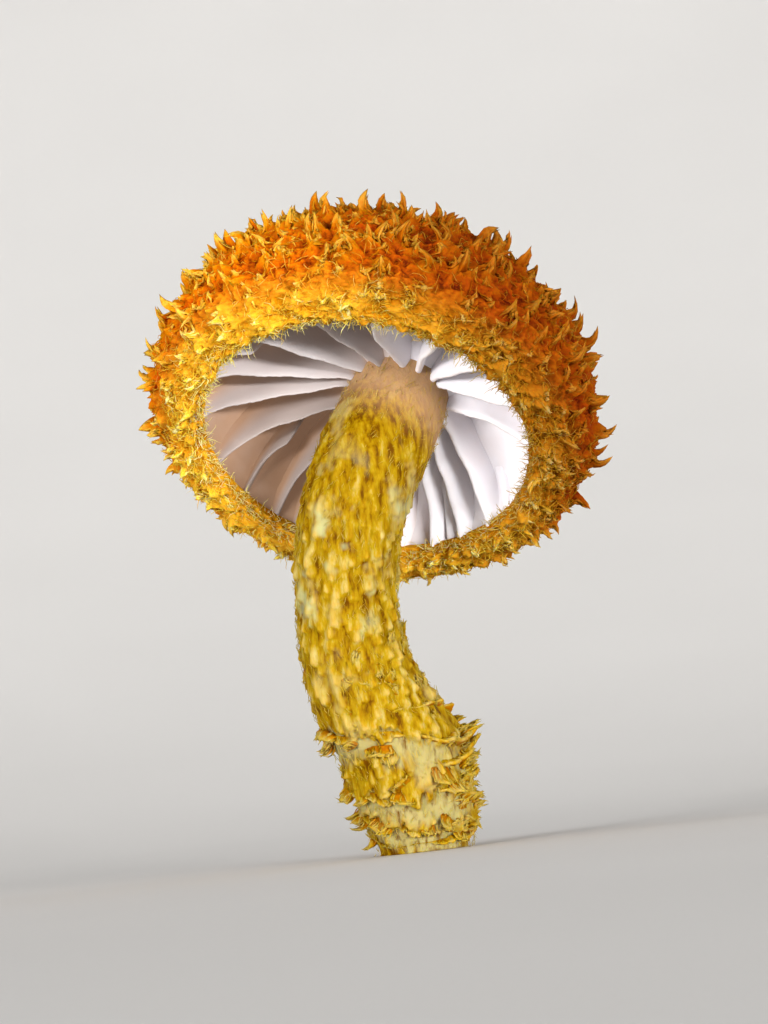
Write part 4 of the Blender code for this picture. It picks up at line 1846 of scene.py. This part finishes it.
@dataclass
class Ruffs:
    """The ragged collars round the stem, which lean down on the left and up on the right.

    At a bearing the collar's middle line leaves the skin at an angle a below outward and curls up by the turn
    over its length L, as the scales do. L is uneven: broad lobes times narrow teeth.
    """

    stem: StemShape
    collars: tuple[Ruff, ...] = (
        Ruff(0.50, -0.05, 0.50, 0.32, 0.3, 0.6),
        Ruff(1.15, -0.55, 0.62, 0.34, 0.3, 0.55),
        Ruff(1.75, -0.30, 0.60, 0.32, 0.0, 0.55),
        Ruff(2.38, -0.38, 0.72, 0.36, 0.45, 0.6),
        Ruff(3.00, -0.35, 0.66, 0.34, 0.0, 1.25),
        Ruff(3.75, -0.90, 0.70, 0.36, 0.6, 1.1, 0.45),
        Ruff(4.45, -0.80, 0.56, 0.30, 0.15, 0.7, 0.4),
        Ruff(5.45, -0.70, 0.45, 0.26, 0.15, 0.5, 0.3),
    )
    columns: int = 320
    steps: int = 8
    turn: float = -0.9
    sunk: float = 0.12
    waver: float = 0.18
    lip_pitch: float = 32.0
    least_length: float = 0.02
    full_length: float = 0.35
    frays: int = 130
    fray_width: float = 0.026
    fray_reach: Pair = (0.9, 1.25)
    fray_shares: tuple[float, ...] = (0.25, 0.5, 0.75, 1.0)
    fray_taper: tuple[float, ...] = (1.0, 1.0, 0.8, 0.4)
    fray_rise: tuple[float, ...] = (0.45, 0.6, 0.75, 0.9)

    @staticmethod
    def wave(bearing: Array, cycles: float, seed: int) -> Array:
        """Noise round the stem with about that many waves in a turn, -1 to 1."""
        reach = cycles * 1.6 / TURN
        flat = bearing.ravel()
        circle = np.stack([np.cos(flat) * reach, np.sin(flat) * reach, np.full(flat.shape, 0.37)], 1)
        return layered_noise(circle, seed, 2).reshape(bearing.shape)

    def place(self, ruff: Ruff, seed: int, bearing: Array, share: Array, side: Array) -> tuple[Array, Array]:
        """Points of one collar.

        Args:
            ruff: The collar.
            seed: Picks its lobes.
            bearing: Radians round the stem, shape (n,).
            share: Share of the length from the root, shape (n,).
            side: 1 on the upper face, -1 on the lower, 0 between, shape (n,).

        Returns:
            Points, shape (n, 3), and how far up the stem each is.
        """
        right = smooth(0.5 + 0.8 * np.cos(bearing))
        height = ruff.height + ruff.rise * np.cos(bearing) - ruff.fore * np.sin(bearing)
        height = height + self.waver * self.wave(bearing, 6, seed)
        up = self.stem.up_at(height)
        root, outward, along = self.stem.at(up, bearing)
        lobes = 1 - 1.6 * np.abs(self.wave(bearing, 11, seed + 1))
        teeth = 1 - 2.4 * np.abs(self.wave(bearing, self.lip_pitch, seed + 2))
        facing = np.sin(bearing) ** 2
        length = ruff.length * (0.56 + 0.54 * lobes) * (0.74 + 0.36 * teeth) * (1 - 0.32 * facing)
        broken = smooth(0.62 + 1.5 * self.wave(bearing, 4.5, seed + 5))
        at_side = ruff.left * (1 - right) + ruff.right * right
        at_side = at_side * (1 - facing) + min(1.0, ruff.left + 0.6) * facing * broken
        length = np.maximum(length * at_side, self.least_length)
        lean = np.radians(58 - 58 * right + 38 * facing + 24 * self.wave(bearing, 9, seed + 3))
        bend = self.turn * (1 - 0.2 * right - 0.45 * facing)
        angle = lean + bend * share
        out = length * (np.sin(angle) - np.sin(lean)) / bend - self.sunk
        down = length * (np.cos(lean) - np.cos(angle)) / bend
        ridges = 0.78 + 0.22 * self.wave(bearing, 90, seed + 4)
        half = ruff.thick / 2 * (1.1 - 0.75 * share) * ridges * side * smooth(length / self.full_length)
        place = root + outward * (out + half * np.sin(angle))[:, None]
        return place + along * (half * np.cos(angle) - down)[:, None], up

    def collar(self, ruff: Ruff, seed: int) -> Surface:
        """One collar: a loop over its upper face and back under its lower, carried round the stem.

        Args:
            ruff: The collar.
            seed: Picks its lobes.

        Returns:
            The closed ring.
        """
        turn = np.linspace(0, TURN, self.columns, endpoint=False)
        share = np.linspace(0, 1, self.steps)
        loop = np.concatenate([share, share[::-1]])
        side = np.repeat([1.0, -1.0], self.steps)
        b, s = (grid.ravel() for grid in np.meshgrid(turn, loop, indexing="ij"))
        y = np.tile(side, self.columns)
        places, up = self.place(ruff, seed, b, s, y)
        quads = wrapped_grid(self.columns + 1, len(loop)) % (self.columns * len(loop))
        # A collar's lower face is more orange and a little darker: partly its own colour, partly painted
        # shade.
        rise = 0.20 + 0.50 * s**2.5 - 0.08 * (y < 0)
        values = {"rise": rise, "up": up, "scale": 0.15 + 0.85 * (y < 0), "bare": np.zeros(len(b))}
        return Surface(places, quads, NO_TRIANGLES, values)

    def fray(self, ruff: Ruff, seed: int) -> Surface:
        """Fine strands that lie along a collar and stick out past its lip.

        Args:
            ruff: The collar.
            seed: Picks its lobes.

        Returns:
            The strands.
        """
        rng = np.random.default_rng(seed)
        bearing = rng.uniform(0, TURN, self.frays)
        reach = rng.uniform(*self.fray_reach, self.frays)
        side = rng.choice([-1.0, 1.0], self.frays)
        points, level = [], []
        for share in self.fray_shares:
            turned = bearing + rng.normal(0, 0.012, self.frays)
            place, up = self.place(ruff, seed, turned, share * reach, side)
            points.append(place + rng.normal(0, 0.014, place.shape))
            level.append(up)
        paths = np.stack(points, 1)
        thin = self.fray_width * rng.uniform(*UNEVEN_WIDTH, (self.frays, 1)) * np.array(self.fray_taper)
        rise = np.array(self.fray_rise) + rng.normal(0, 0.08, (self.frays, 1))
        facing = unit(np.stack([np.cos(bearing), np.sin(bearing), 0.3 + 0 * bearing], 1))
        strands = Swept(paths, thin, facing, STRAND_SIDES)
        flat = np.zeros_like(rise)
        return strands.surface(rise=rise, up=np.stack(level, 1), scale=flat + 0.5, bare=flat)

    def surface(self) -> Surface:
        """All the collars with their frays."""
        parts = []
        for number, ruff in enumerate(self.collars):
            seed = Scatter.RUFFS.value * 100 + number * 10
            parts += [self.collar(ruff, seed), self.fray(ruff, seed)]
        return Surface.joined(parts)


@dataclass
class StemScales:
    """The stem's scales: ragged collars with loose scales among them."""

    stem: StemShape
    finish: Material
    belts: tuple[Belt, ...] = (
        Belt(0.90, 1.30, 12, (0.40, 0.65), (0.45, 0.85), (60, 105), (15, 40), 0.22, 1.0, -0.5),
        Belt(2.15, 2.55, 12, (0.40, 0.70), (0.45, 0.95), (60, 105), (15, 40), 0.22, 1.0, -0.35),
        Belt(3.60, 4.00, 12, (0.40, 0.60), (0.45, 0.95), (50, 95), (15, 40), 0.24, 1.0, -0.85),
        Belt(0.50, 3.10, 34, (0.32, 0.55), (0.45, 0.90), (40, 90), (25, 50), 0.28, 0.8, 0.0, 0.0, 45.0),
        Belt(0.40, 3.70, 26, (0.30, 0.50), (0.30, 0.60), (40, 80), (10, 25), 0.18, 1.0, 0.0, 90.0, 75.0),
        Belt(3.60, 6.80, 34, (0.30, 0.50), (0.35, 0.65), (12, 34), (4, 12), 0.20, 0.5, 0.0, 20.0, 150.0),
    )
    singles: tuple[Scale, ...] = (
        Scale(2.95, 5, 0.95, 0.26, 30, 58, 0.12, 1.0),
        Scale(2.90, -10, 0.85, 0.60, 45, 45, 0.20, 1.0),
        Scale(2.75, 20, 0.80, 0.60, 50, 45, 0.20, 1.0),
        Scale(4.65, 184, 0.48, 0.55, 40, 35, 0.22, -1.0),
        Scale(4.85, 172, 0.45, 0.45, 40, 35, 0.18, -1.0),
        Scale(2.75, 188, 0.55, 0.80, 45, 35, 0.26, -1.0),
        Scale(1.70, 184, 0.45, 0.55, 40, 35, 0.22, -1.0),
        Scale(0.60, 190, 0.40, 0.60, 40, 35, 0.22, -1.0),
        Scale(2.75, -58, 0.70, 0.80, 32, 30, 0.18, -1.0),
        Scale(2.35, -48, 0.65, 0.60, 35, 30, 0.18, -1.0),
        Scale(1.35, -60, 0.60, 0.55, 32, 30, 0.16, -1.0),
    )
    tooth: float = 0.28
    teeth: int = 9
    uneven_heading: float = 0.35
    sunk: float = 0.06
    frays: int = 10
    fray_length: Pair = (-0.02, 0.16)
    fray_width: float = 0.036
    fray_edge: float = 0.92
    fray_shares: tuple[float, ...] = (0.02, 0.28, 0.55, 0.80, 1.0)
    fray_wobble: tuple[float, ...] = (0.0, 0.6, 1.0, 1.0, 1.6)
    fray_taper: tuple[float, ...] = (1.0, 1.1, 1.1, 0.8, 0.4)
    fray_rise: tuple[float, ...] = (0.25, 0.40, 0.6, 0.8, 0.95)

    def tongues(self) -> tuple[Flaps, Array]:
        """Draws all the scales.

        Returns:
            The tongues, and how far up the stem each stands.
        """
        rng = Scatter.STEM_SCALES.draw()
        columns = []
        for belt in self.belts:
            n = belt.count
            share = (np.arange(n) * EVEN_SPREAD + rng.normal(0, 0.05, n)) % 1.0
            turn = np.radians(belt.middle + (2 * share - 1) * belt.spread)
            height = rng.uniform(belt.low, belt.high, n) + belt.tilt * np.cos(turn)
            way = np.where(rng.uniform(0, 1, n) < 0.58 - 0.35 * np.cos(turn), -1.0, 1.0)
            sizes = [rng.uniform(*bounds, n) for bounds in (belt.length, belt.width, belt.start, belt.curl)]
            sizes[2] = sizes[2] * (1 - 0.55 * np.sin(turn) ** 2)
            thick, orange = np.full(n, belt.thick), np.full(n, belt.orange)
            columns.append(np.stack([height, turn, *sizes, thick, way, orange]))
        for one in self.singles:
            sizes = (one.length, one.width, one.start, one.curl, one.thick, one.way, 1.0)
            columns.append(np.array([[one.height], [math.radians(one.bearing)], *([size] for size in sizes)]))
        height, turn, length, width, start, curl, thick, way, orange = np.concatenate(columns, axis=1)
        up = self.stem.up_at(height)
        place, outward, along = self.stem.at(up, turn)
        around = np.cross(outward, along)
        heading = unit(along * way[:, None] + around * rng.normal(0, self.uneven_heading, (len(up), 1)))
        teeth = rng.uniform(-self.tooth, self.tooth, (len(up), self.teeth))
        root = place - outward * self.sunk
        start, curl = np.radians(start), np.radians(curl)
        return Flaps(root, outward, heading, length, width, thick, start, curl, teeth, orange), up

    def fray(self, flaps: Flaps, up: Array) -> Surface:
        """Thin strands that stick out of the scales' free edges.

        Args:
            flaps: The scales.
            up: How far up the stem each stands.

        Returns:
            The strands as one surface.
        """
        rng = Scatter.SCALE_FRAY.draw()
        count = len(up)
        x = np.linspace(-self.fray_edge, self.fray_edge, self.frays)
        x = x + rng.normal(0, 0.06, (count, self.frays))
        end = flaps.reach(x) + rng.uniform(*self.fray_length, x.shape) / flaps.length[:, None]
        y = np.where(rng.uniform(0, 1, x.shape) < 0.6, 1.0, -1.0) * rng.uniform(0.7, 1.1, x.shape)
        steps = len(self.fray_shares)
        paths = [flaps.place(end * share, x * (1 + 0.08 * share), y) for share in self.fray_shares]
        paths = np.stack(paths, 2)
        paths = paths + rng.normal(0, 0.018, paths.shape) * np.array(self.fray_wobble)[:, None]
        paths = paths.reshape(-1, steps, 3)
        thin = self.fray_width * rng.uniform(*UNEVEN_WIDTH, (len(paths), 1)) * np.array(self.fray_taper)
        facing = np.repeat(unit(flaps.outward + 0.01), self.frays, axis=0)
        orange = np.repeat(np.repeat(flaps.orange, self.frays)[:, None], steps, axis=1)
        rise = np.array(self.fray_rise) + rng.normal(0, 0.08, (len(paths), 1)) + 0.1 * (1 - orange)
        level = np.repeat(np.repeat(up, self.frays)[:, None], steps, axis=1)
        strands = Swept(paths, thin, facing, STRAND_SIDES)
        return strands.surface(rise=rise, up=level, scale=orange, bare=0 * rise)

    def build(self) -> Piece:
        """Makes the scales and their fraying.

        Returns:
            The piece.
        """
        flaps, up = self.tongues()
        whole = Surface.joined([Ruffs(self.stem).surface(), flaps.surface(up), self.fray(flaps, up)])
        whole.places[:, 2] = np.maximum(whole.places[:, 2], 0.0)
        return whole.object("stem_scales", self.finish)


@dataclass
class StemFuzz:
    """Fine fibres that lie along the stem."""

    stem: StemShape
    finish: Material
    count: int = 3200
    steps: int = 5
    length: Pair = (0.14, 0.40)
    width: float = 0.013
    lift: Pair = (0.01, 0.10)
    least_lift: float = 0.03
    levels: Pair = (0.03, 0.93)
    uneven_heading: float = 0.45
    stray: float = 0.03
    floor_gap: float = 0.02

    def build(self) -> Piece:
        """Makes the fibres: each follows the skin and lifts off towards its tip.

        Returns:
            The piece.
        """
        rng = Scatter.STEM_FUZZ.draw()
        count = self.count
        up = rng.uniform(*self.levels, count)
        turn = rng.uniform(0, TURN, count)
        place, outward, along = self.stem.at(up, turn)
        around = np.cross(outward, along)
        way = np.where(rng.uniform(0, 1, (count, 1)) < 0.5, -1.0, 1.0)
        heading = unit(along * way + around * rng.normal(0, self.uneven_heading, (count, 1)))
        q = np.linspace(0, 1, self.steps)[None, :, None]
        length = rng.uniform(*self.length, (count, 1, 1))
        lift = rng.uniform(*self.lift, (count, 1, 1)) * q**1.6 + self.least_lift
        paths = place[:, None] + heading[:, None] * q * length + outward[:, None] * lift
        paths = paths + rng.normal(0, self.stray, paths.shape) * q
        paths[..., 2] = np.maximum(paths[..., 2], self.floor_gap)
        thin = strand_widths(rng, self.width, q, count)
        rise = np.clip(rng.normal(0.58, 0.14, (count, 1)) + 0.2 * q[..., 0], 0, 1)
        level = np.repeat(up[:, None], self.steps, axis=1)
        fibres = Swept(paths, thin, unit(outward + 0.012), STRAND_SIDES)
        whole = fibres.surface(rise=rise, up=level, scale=0 * rise, bare=0 * rise)
        return whole.object("stem_fuzz", self.finish)


@dataclass(frozen=True)
class Lamp:
    """A soft rectangular light: its name, its place and size in millimetres, and its power in watts."""

    name: str
    place: Triple
    power: float
    size: Pair


@dataclass
class Studio:
    """A pale floor that curves up behind, soft lights and the camera at the photograph's angle."""

    camera_place: Triple = (-0.107, -95.0, 1.6)
    camera_right: Triple = (0.9936, 0.0110, -0.1127)
    camera_up: Triple = (0.1132, -0.0969, 0.9888)
    camera_back: Triple = (0.0, -0.9952, -0.0976)
    lens: float = 104.37
    sensor: float = 36.0
    floor_half: float = 400.0
    bend_at: float = 30.0
    bend_radius: float = 300.0
    bend_steps: int = 24
    wall_height: float = 600.0
    paper_cell: float = 40.0
    paper_dark: Triple = (0.76, 0.75, 0.735)
    paper_light: Triple = (0.79, 0.78, 0.765)
    lamps: tuple[Lamp, ...] = (
        Lamp("key_light", (-250.0, -395.0, 38.0), 1.3, (200.0, 68.0)),
        Lamp("top_light", (-60.0, -20.0, 160.0), 0.017, (110.0, 110.0)),
        Lamp("rim_light", (120.0, 90.0, 60.0), 0.012, (60.0, 60.0)),
        Lamp("fill_light", (212.0, -362.0, 18.0), 1.3, (200.0, 32.0)),
    )
    lit_point: Triple = (0.0, 0.0, 12.0)
    light_tint: Triple = (1.0, 0.985, 0.97)
    light_spread: float = 130.0
    room_tint: tuple[float, float, float, float] = (1.0, 0.99, 0.98, 1.0)
    room_light: float = 0.30
    room_seen: float = 0.60

    def camera(self) -> None:
        """Places the camera just above the floor, looking up a little and rolled as the photograph is."""
        data = bpy.data.cameras.new("camera")
        data.lens = self.lens
        data.sensor_width = self.sensor
        data.sensor_fit = "AUTO"
        data.clip_start = 1.0 * MM
        data.clip_end = 10.0
        view = bpy.data.objects.new("camera", data)
        bpy.context.scene.collection.objects.link(view)
        axes = [Vector(v).normalized() for v in (self.camera_right, self.camera_up, self.camera_back)]
        placed = Matrix(axes).transposed().to_4x4()
        placed.translation = Vector(self.camera_place) * MM
        view.matrix_world = placed
        bpy.context.scene.camera = view

    def backdrop(self) -> None:
        """Makes the floor and the wall behind it as one sheet with a round bend."""
        turn = np.linspace(0, math.pi / 2, self.bend_steps)
        back = self.bend_at + self.bend_radius * np.sin(turn)
        lift = self.bend_radius * (1 - np.cos(turn))
        depth = np.concatenate([[-self.floor_half], back, [back[-1]]])
        height = np.concatenate([[0.0], lift, [self.wall_height]])
        wide = np.array([-self.floor_half * 2, self.floor_half * 2])
        places = np.stack([np.tile(wide, len(depth)), np.repeat(depth, 2), np.repeat(height, 2)], 1)
        graph = Graph("backdrop_paper")
        tone = graph.noise(self.paper_cell, 2.0)
        graph.paint(graph.ramp(tone, {0.3: self.paper_dark, 0.7: self.paper_light}))
        graph.set(Roughness=0.9, Specular_IOR_Level=0.1)
        sheet = Surface(places, wrapped_grid(len(depth), 2, False), NO_TRIANGLES)
        sheet.object("backdrop", graph.material)

    def light(self, lamp: Lamp) -> None:
        """Adds a soft rectangular light that faces the cap."""
        data = bpy.data.lights.new(lamp.name, "AREA")
        data.energy = lamp.power
        data.shape = "RECTANGLE"
        data.size, data.size_y = lamp.size[0] * MM, lamp.size[1] * MM
        data.color = self.light_tint
        data.spread = math.radians(self.light_spread)
        placed = bpy.data.objects.new(lamp.name, data)
        bpy.context.scene.collection.objects.link(placed)
        placed.location = Vector(lamp.place) * MM
        aim = Vector(self.lit_point) - Vector(lamp.place)
        placed.rotation_euler = aim.to_track_quat("-Z", "Y").to_euler()
        placed.visible_camera = False

    def room(self) -> None:
        """Lights everything softly from all round, and looks as pale as the floor past the floor's edge."""
        world = bpy.data.worlds.new("soft_room")
        world.use_nodes = True
        nodes, links = world.node_tree.nodes, world.node_tree.links
        around = nodes["Background"]
        around.inputs["Color"].default_value = self.room_tint
        power = nodes.new("ShaderNodeMath")
        power.operation = "MULTIPLY_ADD"
        links.new(nodes.new("ShaderNodeLightPath").outputs["Is Camera Ray"], power.inputs[0])
        power.inputs[1].default_value = self.room_seen - self.room_light
        power.inputs[2].default_value = self.room_light
        links.new(power.outputs["Value"], around.inputs["Strength"])
        bpy.context.scene.world = world

    def build(self) -> None:
        """Sets up the floor, the lights and the camera."""
        self.camera()
        self.backdrop()
        for lamp in self.lamps:
            self.light(lamp)
        self.room()
        bpy.context.scene.view_settings.view_transform = "Standard"


def main() -> None:
    logging.basicConfig(level=logging.INFO, format="%(name)s: %(message)s")
    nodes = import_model()["nodes"]
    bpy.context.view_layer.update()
    cap, stem = CapShape(), StemShape()
    spines = Spines(cap, nodes["cap"])
    tufts, prongs = spines.sites - spines.big, len(spines.foot) - spines.sites
    LOG.info("%d spines, %d tufts, %d prongs", spines.big, tufts, prongs)
    fleece, stalk = FleeceFinish().material(), StalkFinish().material()
    flesh = CapFlesh(cap, spines, fleece)
    horns = CapSpines(cap, spines, flesh, fleece)
    makers = (
        (flesh, "cap"),
        (horns, "cap"),
        (CapStrands(cap, horns, flesh, fleece), "cap"),
        (CapFuzz(cap, flesh, fleece), "cap"),
        (MarginWool(cap, flesh, fleece), "cap"),
        (Gills(cap, FleshFinish().material()), "gills"),
        (StemFlesh(stem, stalk), "stem"),
        (StemScales(stem, stalk), "stem"),
        (StemFuzz(stem, stalk), "stem"),
    )
    for maker, slot in makers:
        piece = maker.build()
        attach(piece, "root")
        corners = sum(len(polygon.vertices) - 2 for polygon in piece.data.polygons)
        LOG.info("%s: %d triangles", piece.name, corners)
    Studio().build()


if __name__ == "__main__":
    main()
